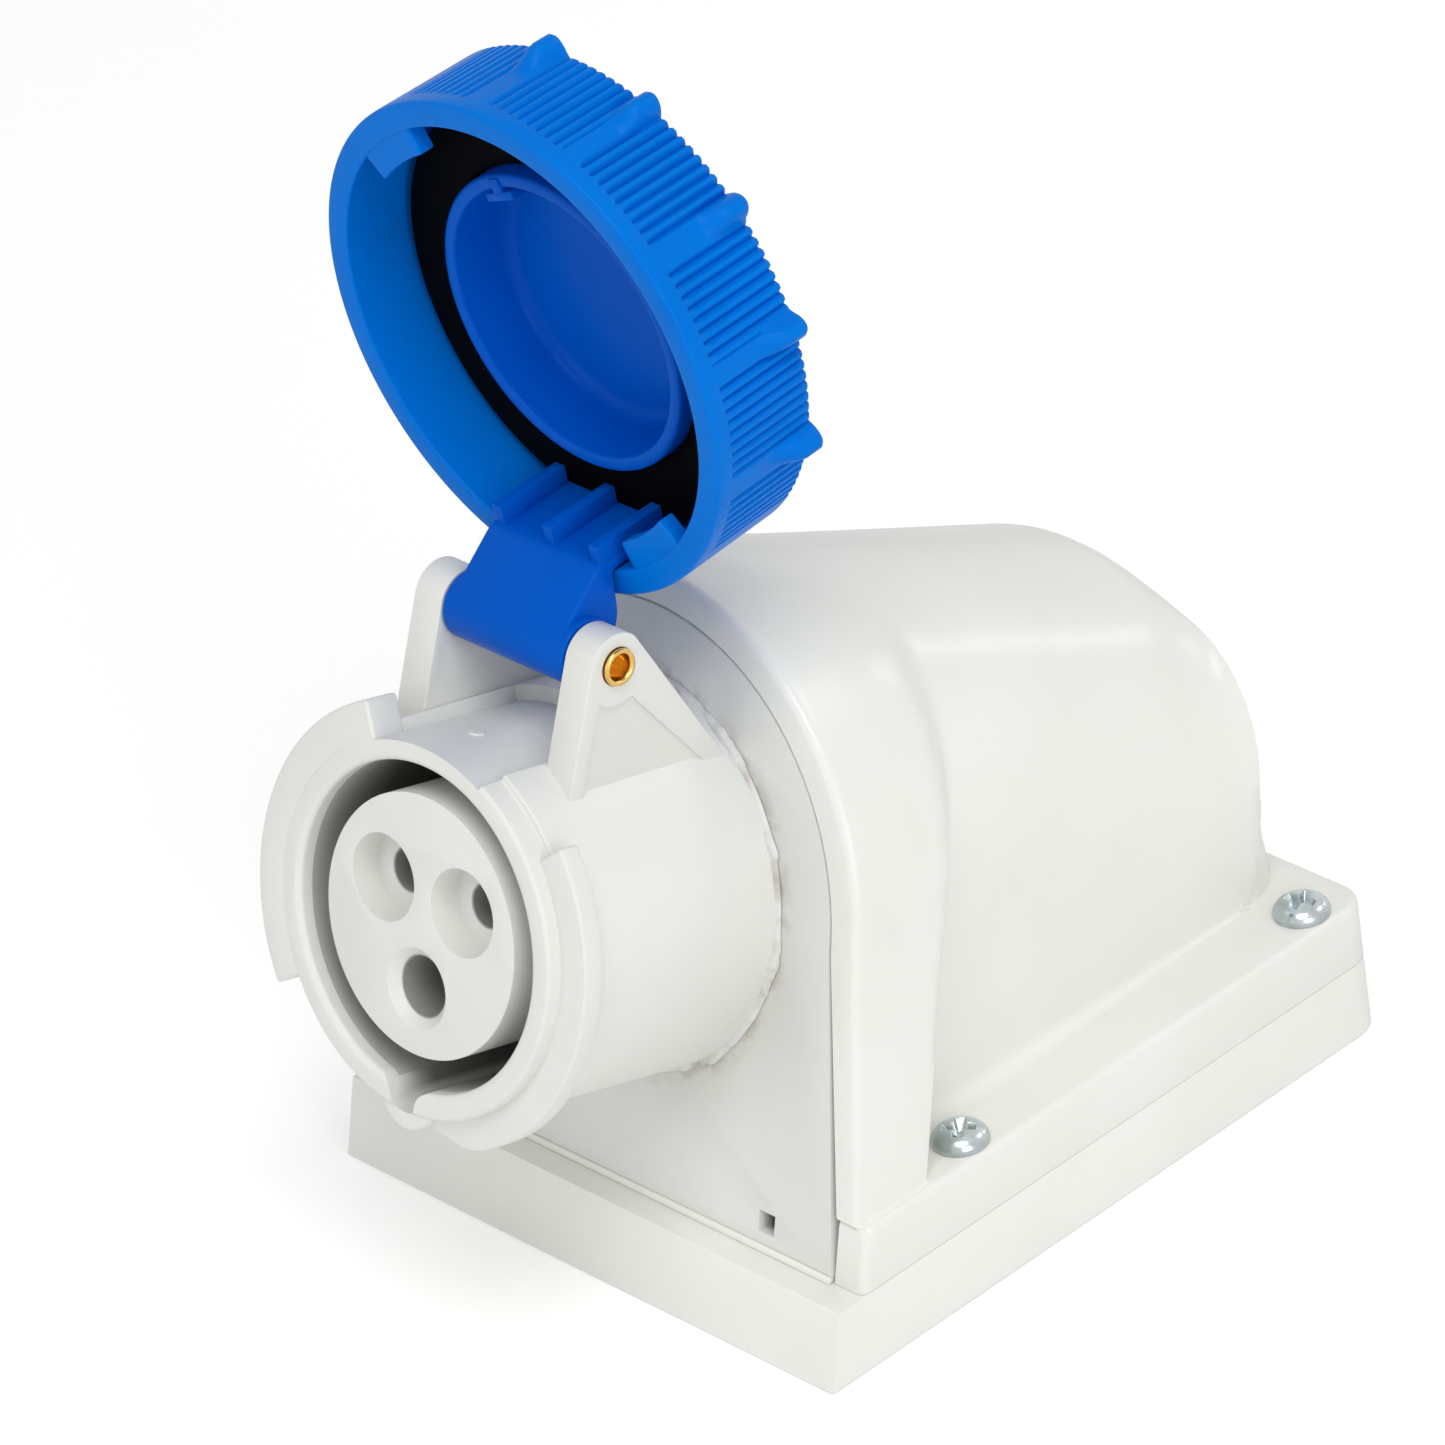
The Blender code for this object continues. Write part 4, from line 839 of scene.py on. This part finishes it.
# %% Collar arcs
COLLAR_INNER, COLLAR_OUTER = 24.5 * MM, 30.5 * MM
COLLAR_BACK = MOUTH - 5.5 * MM
COLLARS = ((radians(112.4), radians(100.6), MOUTH - 0.08 * MM),
           (radians(-86), radians(124), MOUTH - 2.2 * MM))
collars = []
for start, sweep, face in COLLARS:
    section = oblong(COLLAR_INNER, COLLAR_OUTER, COLLAR_BACK, face)
    collars.append(turned(section, 96, start, sweep))
BULGE_REACH = 27.6 * MM
for v in collars[1].verts:
    radius = v.co.xy.length
    angle = Vector((1, 0)).angle_signed(v.co.xy) * -1
    if radius > BULGE_REACH:
        shrink = smooth_step((radians(-66) - angle) / radians(20))
        v.co.xy *= 1 + (BULGE_REACH / radius - 1) * shrink
collars = [soften(collar, 0.45 * MM, 3) for collar in collars]
print("collar arcs:", len(collars))

# %% Hinge ears
EAR_INNER, EAR_OUTER = 11.85 * MM, 17.05 * MM
PIN = (HINGE_HEIGHT, MOUTH - HINGE_BACK)
PIN_HOLE = 2.6 * MM
BOSS = 4.6 * MM
PANEL_SUNK = 0.7 * MM
DOT, DOT_RISE = 1.15 * MM, 0.22 * MM

ear_shape = ([(19.5 * MM, 29.6 * MM)] + round_end(PIN, BOSS, radians(82), radians(-38.5))
             + [(22.5 * MM, 2.4 * MM), (19.5 * MM, 2.4 * MM)])
panel_shape = ([(19.0 * MM, 27.2 * MM), (31.6 * MM, 25.5 * MM)]
               + round_end(PIN, 5.6 * MM, radians(152), radians(212), 8)
               + [(23.0 * MM, 6.9 * MM), (19.0 * MM, 2.2 * MM)])


def ear(side):
    """One ear, with the sunk panel on its outer face and the pin's hole."""
    low, high = sorted((side * EAR_INNER, side * EAR_OUTER))
    block = moved(pulled(ear_shape, low, high), SIDE_VIEW)
    low, high = sorted((side * (EAR_OUTER - PANEL_SUNK), side * 2 * EAR_OUTER))
    panel = moved(pulled(panel_shape, low, high), SIDE_VIEW)
    hole = turned(oblong(0, PIN_HOLE, -30 * MM, 30 * MM), 40)
    moved(hole, Matrix.Translation((0, *PIN)) @ Matrix.Rotation(pi / 2, 4, "Y"))
    return soften(carved(block, panel, hole), 0.3 * MM, 3)


ears = [ear(1), ear(-1)]
dot = turned([(0, -1 * MM), (DOT, -1 * MM), (DOT, DOT_RISE, 0.12 * MM), (0, DOT_RISE)], 32)
moved(dot, Matrix.Rotation(radians(1), 4, "Z") @ Matrix.Translation((0, RECESS_FLOOR, 30 * MM))
      @ Matrix.Rotation(-pi / 2, 4, "X"))
barrel = together(sleeve, *collars, *ears, dot)
keep("socket_sleeve", barrel, socket_grey, "housing", socket_frame,
     stands_for=["socket_barrel"])

# %% [markdown]
# ## A sheet of painted shade in the bore
#
# The bottom of the socket lies in shade, and one even finish would show it too pale. A thin sheet, flush in a
# groove of the sleeve, carries painted shade that darkens with depth. It is turned like the sleeve, and the
# same keyway is carved out of it.

# %% Sheet of painted shade
PLAY = 0.03 * MM
SHADE_SHEET_HOLE, SHADE_SHEET_LOW, SHADE_SHEET_FLOOR = 18.4 * MM, 4.42 * MM, 5 * MM
shade_sheet_outside, shade_sheet_top = CAVITY + SHADE_SHEET_THICK - PLAY, SHADE_SHEET_END - PLAY
shade_sheet = turned([(SHADE_SHEET_HOLE, SHADE_SHEET_LOW), (shade_sheet_outside, SHADE_SHEET_LOW), (shade_sheet_outside, shade_sheet_top),
                (CAVITY, shade_sheet_top), (CAVITY, SHADE_SHEET_FLOOR, 0.4 * MM), (SHADE_SHEET_HOLE, SHADE_SHEET_FLOOR)], 128)
# The sheet carries painted shade that darkens with depth.
keep("bore_shade_sheet", carved(shade_sheet, keyway()), bore_painted_shade, "housing", socket_frame,
     stands_for=["socket_barrel"])

# %% [markdown]
# ## The contact insert
#
# The inner disc has two counterbored holes for the live pins and a countersunk one for the earth pin. The
# holes are carved out of a turned disc, and their rims are softened afterwards. Thin dark grey tubes line
# them, as painted shade for the inside of the holes.

# %% Insert
FACE = 38.4 * MM
CIRCLE = 8.8 * MM
INSERT_RADIUS, INSERT_BACK = 18 * MM, 1.7 * MM
LIVE_BORE, LIVE_WIDE, LIVE_STEP = 3.2 * MM, 6 * MM, FACE - 4.7 * MM
EARTH_BORE, EARTH_WIDE = 4.35 * MM, 5.7 * MM
HOLE_BACK, TUBE_BACK = 3 * MM, 24 * MM
TUBE_WALL, TUBE_SHORT = 0.2 * MM, 0.15 * MM
disc = turned(oblong(0, INSERT_RADIUS, INSERT_BACK, FACE), 128)
live = [(0, HOLE_BACK), (LIVE_BORE, HOLE_BACK), (LIVE_BORE, LIVE_STEP), (LIVE_WIDE, LIVE_STEP),
        (LIVE_WIDE, BEYOND), (0, BEYOND)]
earth = [(0, HOLE_BACK), (EARTH_BORE, HOLE_BACK), (EARTH_BORE, FACE - 1.3 * MM),
         (EARTH_WIDE, FACE + 0.05 * MM), (EARTH_WIDE, BEYOND), (0, BEYOND)]
holes, tubes = [], []
for angle, shape in ((150, live), (30, live), (270, earth)):
    spot = Matrix.Translation((CIRCLE * cos(radians(angle)), CIRCLE * sin(radians(angle)), 0))
    holes.append(moved(turned(shape, 64), spot))
    bore, top = shape[2]
    tube = oblong(bore - TUBE_WALL, bore, TUBE_BACK, top - TUBE_SHORT)
    tubes.append(moved(turned(tube, 64), spot))
disc = soften(carved(disc, *holes), 0.35 * MM, 3)
keep("insert_face", disc, socket_grey, "housing", socket_frame,
     stands_for=["contact_insert"])
# The tubes carry painted shade inside the holes.
keep("hole_shade_tubes", together(*tubes), hole_painted_shade, "housing", socket_frame,
     stands_for=["contact_insert"])

# %% [markdown]
# ## Contacts, set back out of sight
#
# The metal sleeves that grip the pins lie deep in their holes, where the eye finds only shade. Their CAD
# shapes end nearer the front, so a block carves the front off a merged copy of each.

# %% Contact sleeves
CONTACT_FRONT = FACE - 9.7 * MM
REACH = 25 * MM
for node in ("line_contact", "neutral_contact", "earth_contact"):
    ahead = pulled(oblong(-REACH, REACH, -REACH, REACH), CONTACT_FRONT, BEYOND)
    cut_back = carved(merged_copy(node), moved(ahead, socket_frame))
    keep(node.replace("contact", "sleeve"), cut_back, contact_plated, "housing", stands_for=[node])

# %% [markdown]
# ## Hinge pin, sealant and screws
#
# The pin is a brass rivet with hollow, rolled ends, so its outline ends in a little round lip. The sealant is
# a ring whose section wanders, made by pushing the vertices of a turned bead about with noise. The screws
# have a domed head, and the cross recess is carved out of it with two tapered blocks.

# %% Hinge pin
half_pin = [(2.3 * MM, 17.0 * MM), (2.52 * MM, 17.1 * MM), (2.6 * MM, 17.4 * MM), (2.45 * MM, 17.75 * MM),
            (2.1 * MM, 17.8 * MM), (1.85 * MM, 17.55 * MM), (1.8 * MM, 17.0 * MM), (1.8 * MM, 14.2 * MM),
            (0, 13.8 * MM)]
pin_outline = half_pin + [(r, -h) for r, h in reversed(half_pin)]
rivet = moved(turned(pin_outline, 48), Matrix.Rotation(pi / 2, 4, "Y"))
keep("hinge_rivet", rivet, pin_brass, "housing", hinge_frame, stands_for=["hinge_pin"],
     crease=radians(60))

# %% Sealant bead
BEAD_INNER, BEAD_BACK = 27.4 * MM, 0.05 * MM
LUMPS_PER_METRE = 300
bead = turned([(BEAD_INNER, BEAD_BACK), (28.6 * MM, BEAD_BACK, 0.2 * MM), (28.2 * MM, 0.5 * MM, 0.2 * MM),
               (BEAD_INNER, 0.7 * MM, 0.1 * MM)], 260, segments=3)
for v in bead.verts:
    spot = v.co * LUMPS_PER_METRE
    patch = smooth_step(noise.noise(spot * 0.35) * 1.6 + 0.25)
    push = (noise.noise(spot) * 0.6 + noise.noise(spot * 3.3) * 0.5) * patch
    away = v.co.xy.length - 27.5 * MM
    if away > 0.05 * MM:
        v.co.xy *= 1 + (push * 1.1 + patch * 0.3 - 0.25) * MM / v.co.xy.length
    if v.co.z > 0.2 * MM:
        v.co.z = max(BEAD_BACK, v.co.z + (push * 1.1 + patch * 0.2) * MM)
keep("joint_bead", bead, sealant, "housing", socket_frame, stands_for=["sealant_bead"],
     crease=radians(80))

# %% Cover screws
SHANK, TIP, SHANK_END = 2 * MM, 1 * MM, -15 * MM
ARM_LENGTH, ARM_WIDTH, ARM_DEPTH, ARM_MIDDLE = 6.2 * MM, 1.9 * MM, 2.6 * MM, 1.9 * MM
ARM_TAPER = 0.40
SCREW_TURNS = (38, 71, 12, 55)


def pan_screw():
    """A pan-head screw standing on z = 0, with a tapered cross recess."""
    head = turned([(0, SHANK_END), (0, 2.45 * MM), (2.3 * MM, 2.3 * MM, 0.8 * MM),
                   (3.75 * MM, 1.5 * MM, 0.8 * MM), (4.1 * MM, 0.5 * MM, 0.3 * MM), (4.05 * MM, 0, 0.15 * MM),
                   (SHANK, 0), (SHANK, -14 * MM), (TIP, SHANK_END)], 48)
    cross = []
    for quarter in (0, pi / 2):
        arm = bmesh.new()
        bmesh.ops.create_cube(arm, size=1.0)
        for v in arm.verts:
            wide = 1.0 if v.co.z > 0 else ARM_TAPER
            v.co = (v.co.x * ARM_LENGTH * wide, v.co.y * ARM_WIDTH * wide, ARM_MIDDLE + v.co.z * ARM_DEPTH)
        cross.append(moved(arm, Matrix.Rotation(quarter, 4, "Z")))
    return soften(carved(head, *cross), 0.12 * MM, 2, radians(40))


for number, twist in enumerate(SCREW_TURNS, 1):
    low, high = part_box("cover_screw_%d" % number)
    spot = Vector(((low.x + high.x) / 2, (low.y + high.y) / 2, FLANGE_TOP + 0.02 * MM))
    keep("pan_screw_%d" % number, pan_screw(), screw_zinc, "housing",
         Matrix.Translation(spot) @ Matrix.Rotation(radians(twist), 4, "Z"),
         stands_for=["cover_screw_%d" % number])

# %% [markdown]
# ## The lid
#
# The lid is drawn shut, about the socket's axis, with z pointing away from the socket. The cap is a turned
# disc with a cup in its middle, and a tongue with three ribs runs to the hinge knuckle. At the cup's edge is
# a little hook. The black gasket lies round the cup.

# %% Lid cap
CUP_FLOOR, CUP_RIM, CUP_OUTSIDE, CAP_BACK = 7.5 * MM, -2.0 * MM, 21.7 * MM, 9.3 * MM
DISC, DISC_FRONT, DISC_BACK = 31.4 * MM, 2.9 * MM, 5.4 * MM
cap = turned([(0, CUP_FLOOR), (19.2 * MM, CUP_FLOOR, 2.2 * MM), (19.7 * MM, CUP_RIM, 0.5 * MM),
              (CUP_OUTSIDE, CUP_RIM, 0.6 * MM), (CUP_OUTSIDE, DISC_FRONT), (DISC, DISC_FRONT),
              (DISC, DISC_BACK), (CUP_OUTSIDE, DISC_BACK), (CUP_OUTSIDE, CAP_BACK, 0.6 * MM),
              (0, CAP_BACK)], 144)
TONGUE_HALF = 10.4 * MM
KNUCKLE, KNUCKLE_HALF = 4.8 * MM, 11.5 * MM
tongue_shape = [(28.5 * MM, 3.2 * MM), (28.5 * MM, -11.9 * MM, 1.2 * MM), (34.6 * MM, -20.4 * MM),
                (41.9 * MM, -14.2 * MM), (37.6 * MM, -10.2 * MM, 2.0 * MM), (30.3 * MM, -9.7 * MM, 0.6 * MM),
                (30.1 * MM, 3.2 * MM)]
tongue = soften(moved(pulled(tongue_shape, -TONGUE_HALF, TONGUE_HALF), SIDE_VIEW), 0.45 * MM, 3)
knuckle_line = Matrix.Translation((0, HINGE_HEIGHT, -HINGE_BACK)) @ Matrix.Rotation(pi / 2, 4, "Y")
knuckle = moved(turned([(PIN_HOLE, -KNUCKLE_HALF), (KNUCKLE, -KNUCKLE_HALF, 0.4 * MM),
                        (KNUCKLE, KNUCKLE_HALF, 0.4 * MM), (PIN_HOLE, KNUCKLE_HALF)], 64), knuckle_line)
RIB_TOP, RIB_FOOT = 25.75 * MM, 29.0 * MM
RIB_FRONT, RIB_BACK = 0.2 * MM, -11.5 * MM
RIB_MIDDLES, RIB_HALF = (-8.9, 0.6, 9.4), 0.9
ribs = []
for x in RIB_MIDDLES:
    rib = pulled(oblong(RIB_FOOT, RIB_TOP, RIB_FRONT, RIB_BACK), (x - RIB_HALF) * MM, (x + RIB_HALF) * MM)
    ribs.append(soften(moved(rib, SIDE_VIEW), 0.15 * MM, 2))
print("lid cap parts:", 3 + len(ribs))

# %% Hook, cap and gasket
HOOK_TURN = Matrix.Rotation(radians(-21), 4, "Z")
STEM_HALF, BAR_HALF = 1.0 * MM, 2.9 * MM
stem = pulled(oblong(-STEM_HALF, STEM_HALF, -21.2 * MM, -18.2 * MM), -2.3 * MM, -0.6 * MM)
bar = pulled(oblong(-BAR_HALF, BAR_HALF, -19.3 * MM, -18.0 * MM), -2.4 * MM, 0.6 * MM)
hook = [moved(soften(stem, 0.2 * MM, 2), HOOK_TURN), moved(soften(bar, 0.3 * MM, 2), HOOK_TURN)]
# The cap's darker blue is painted shade for the inside of the cup.
keep("lid_cap_shell", together(cap, tongue, knuckle, *ribs, *hook), shaded_cap_blue, "lid", lid_frame,
     stands_for=["lid_cap"])
SEAL_INNER, SEAL_OUTER, SEAL_BACK = 22.0 * MM, 30.5 * MM, 2.85 * MM
seal = turned([(SEAL_INNER, 0.3 * MM, 0.3 * MM), (SEAL_INNER, SEAL_BACK), (SEAL_OUTER, SEAL_BACK),
               (SEAL_OUTER, 0.5 * MM, 0.3 * MM), (27.3 * MM, 0.3 * MM)], 144)
keep("gasket_ring", seal, black_rubber, "lid", lid_frame, stands_for=["lid_gasket"])

# %% [markdown]
# ## The locking ring
#
# The ring turns on the cap. Its outside has fine grooves behind a smooth front band, with ten rounded grips
# that rise towards the back. The grooves would take over a hundred cuts, so instead the ring is turned with
# many steps. Its vertices are then pushed in where a groove falls, and out where a grip swells.

# %% Ring body with grooves and grips
RING_FRONT, RING_BACK = -9.3 * MM, 8.0 * MM
RING_INNER, RING_OUTER = 32.2 * MM, 35.9 * MM
LIP_RADIUS, LIP_FRONT = 23.5 * MM, 5.75 * MM
SIDE_RADIUS, SIDE_TAPER = 35.84 * MM, 0.34 * MM
GRIP_PITCH = radians(27.75)
GRIP_MIDDLE = radians(-37.5)
GROOVE_PITCH = GRIP_PITCH / 10.5
GROOVE_DEPTH = 0.78 * MM
GROOVE_HALF = 0.28
GROOVE_EASE, GROOVE_FADE = 0.1 * MM, 0.6 * MM
GROOVED_RADIUS, GROOVED_HALF = 34.9 * MM, radians(77.5)
STEPS_PER_GROOVE = 6
groove_count = round(2 * pi / GROOVE_PITCH)
ring_steps = groove_count * STEPS_PER_GROOVE
GROOVE_START = RING_FRONT + 2.6 * MM
SIDE_ROWS = 16
side_low, side_high = GROOVE_START + 0.5 * MM, RING_BACK - 0.5 * MM
side_wall = [(SIDE_RADIUS - SIDE_TAPER * k / SIDE_ROWS, side_low + (side_high - side_low) * k / SIDE_ROWS)
             for k in range(SIDE_ROWS + 1)]
ring_outline = [(RING_INNER, RING_FRONT, 0.35 * MM), (RING_OUTER, RING_FRONT, 0.55 * MM),
                (35.88 * MM, GROOVE_START - 0.5 * MM), (35.86 * MM, GROOVE_START), *side_wall,
                (35.1 * MM, RING_BACK), (LIP_RADIUS, RING_BACK, 0.4 * MM), (LIP_RADIUS, LIP_FRONT),
                (RING_INNER, LIP_FRONT)]
ring = turned(ring_outline, ring_steps)
GRIP_STRIP = radians(2.6)
GRIP_HALF, GRIP_HEIGHT, GRIP_RADIUS = 2.0 * MM, 2.6 * MM, 36 * MM
GRIP_START, GRIP_RUN = 0.6 * MM, 4.4 * MM


def nearest_grip(angle):
    """How far an angle is from the nearest of a side's five grips, and from the middle of that side."""
    zone = (angle - GRIP_MIDDLE + pi / 2) % pi - pi / 2
    number = max(-2, min(2, round(zone / GRIP_PITCH)))
    return abs(zone - number * GRIP_PITCH), abs(zone)


def grip_share(off_grip, height):
    """0 on the plain wall, 1 on the crest of a grip."""
    across = max(0.0, 1 - (off_grip * GRIP_RADIUS / GRIP_HALF) ** 2) ** 0.8
    return across * smooth_step((height - GRIP_START) / GRIP_RUN)


for v in ring.verts:
    radius = v.co.xy.length
    if radius > GROOVED_RADIUS and v.co.z > GROOVE_START - GROOVE_EASE:
        angle = Vector((1, 0)).angle_signed(v.co.xy) * -1
        off_grip, off_middle = nearest_grip(angle)
        grip = grip_share(off_grip, v.co.z)
        depth = 0.0
        if off_middle < GROOVED_HALF and off_grip > GRIP_STRIP:
            phase = (angle / (2 * pi) * groove_count) % 1.0
            valley = max(0.0, 1 - abs(phase - 0.5) / GROOVE_HALF)
            fade = smooth_step((v.co.z - GROOVE_START + GROOVE_EASE) / GROOVE_FADE)
            depth = GROOVE_DEPTH * valley * fade * (1 - grip)
        v.co.xy *= 1 + (GRIP_HEIGHT * grip - depth) / radius
print("ring steps:", ring_steps)

# %% Lugs
LUG_ANGLE, LUG_HALF = radians(53.5), radians(11)
LUG_INNER, LUG_OUTER = 28.4 * MM, 33.5 * MM
LUG_FRONT, LUG_BACK = -9.1 * MM, -6.5 * MM
lugs = []
for side in (0, pi):
    section = oblong(LUG_INNER, LUG_OUTER, LUG_FRONT, LUG_BACK)
    lug = turned(section, 12, LUG_ANGLE + side - LUG_HALF, 2 * LUG_HALF)
    lugs.append(soften(lug, 0.35 * MM, 3))
keep("ring_shell", together(ring, *lugs), ring_blue, "ring", lid_frame,
     stands_for=["locking_ring"], crease=radians(38))

# %% [markdown]
# ## Pieces that stay as CAD
#
# What is left is inside the housing or barely seen: springs, seals, the cable grommet, the holders of the
# contacts and small screws. Their CAD shapes are right, so they only get the finishes above.

# %% Finish the inner pieces
for name, node in frame["nodes"].items():
    if node.hide_render:
        continue
    if "seal" in name or "grommet" in name:
        made = black_rubber
    elif "screw" in name or "spring" in name:
        made = screw_zinc
    else:
        made = socket_grey
    node.data.materials.clear()
    node.data.materials.append(made)
print("CAD nodes shown:", [n for n, o in frame["nodes"].items() if not o.hide_render])

# %% [markdown]
# ## Background and world
#
# The floor is matt white and takes the object's soft shadow, and a faint glow that only the camera sees keeps
# it white. The world gives even light, and the camera and mirror-like surfaces see it as plain white.

# %% World and floor
WORLD_LIGHT, FLOOR_GLOW = 0.51, 0.22
made, start, shader = finish("floor_white")
paper = grain(start, 900.0, 3.0)
seen = start.node("ShaderNodeLightPath", output="Is Camera Ray")
feed(start, shader, Base_Color=paper.tint((0.93, 0.93, 0.93), (0.95, 0.95, 0.95)), Roughness=0.9,
     Emission_Color=seen.tint((0, 0, 0), (1, 1, 1)), Emission_Strength=FLOOR_GLOW)
floor.data.materials.append(made)

world = bpy.data.worlds.new("studio")
scene.world = world
world.use_nodes = True
start = Wire(world.node_tree)
seen = start.node("ShaderNodeLightPath", output="Is Camera Ray")
mirror = start.node("ShaderNodeLightPath", output="Is Glossy Ray")
clear = start.node("ShaderNodeLightPath", output="Is Transmission Ray")
share = start.maths("MINIMUM", seen + mirror + clear, 1.0)
background = world.node_tree.nodes["Background"]
background.inputs["Color"].default_value = (1, 1, 1, 1)
world.node_tree.links.new((WORLD_LIGHT + share * (1 - WORLD_LIGHT)).socket, background.inputs["Strength"])
scene.view_settings.view_transform = "Standard"
print("world ready")
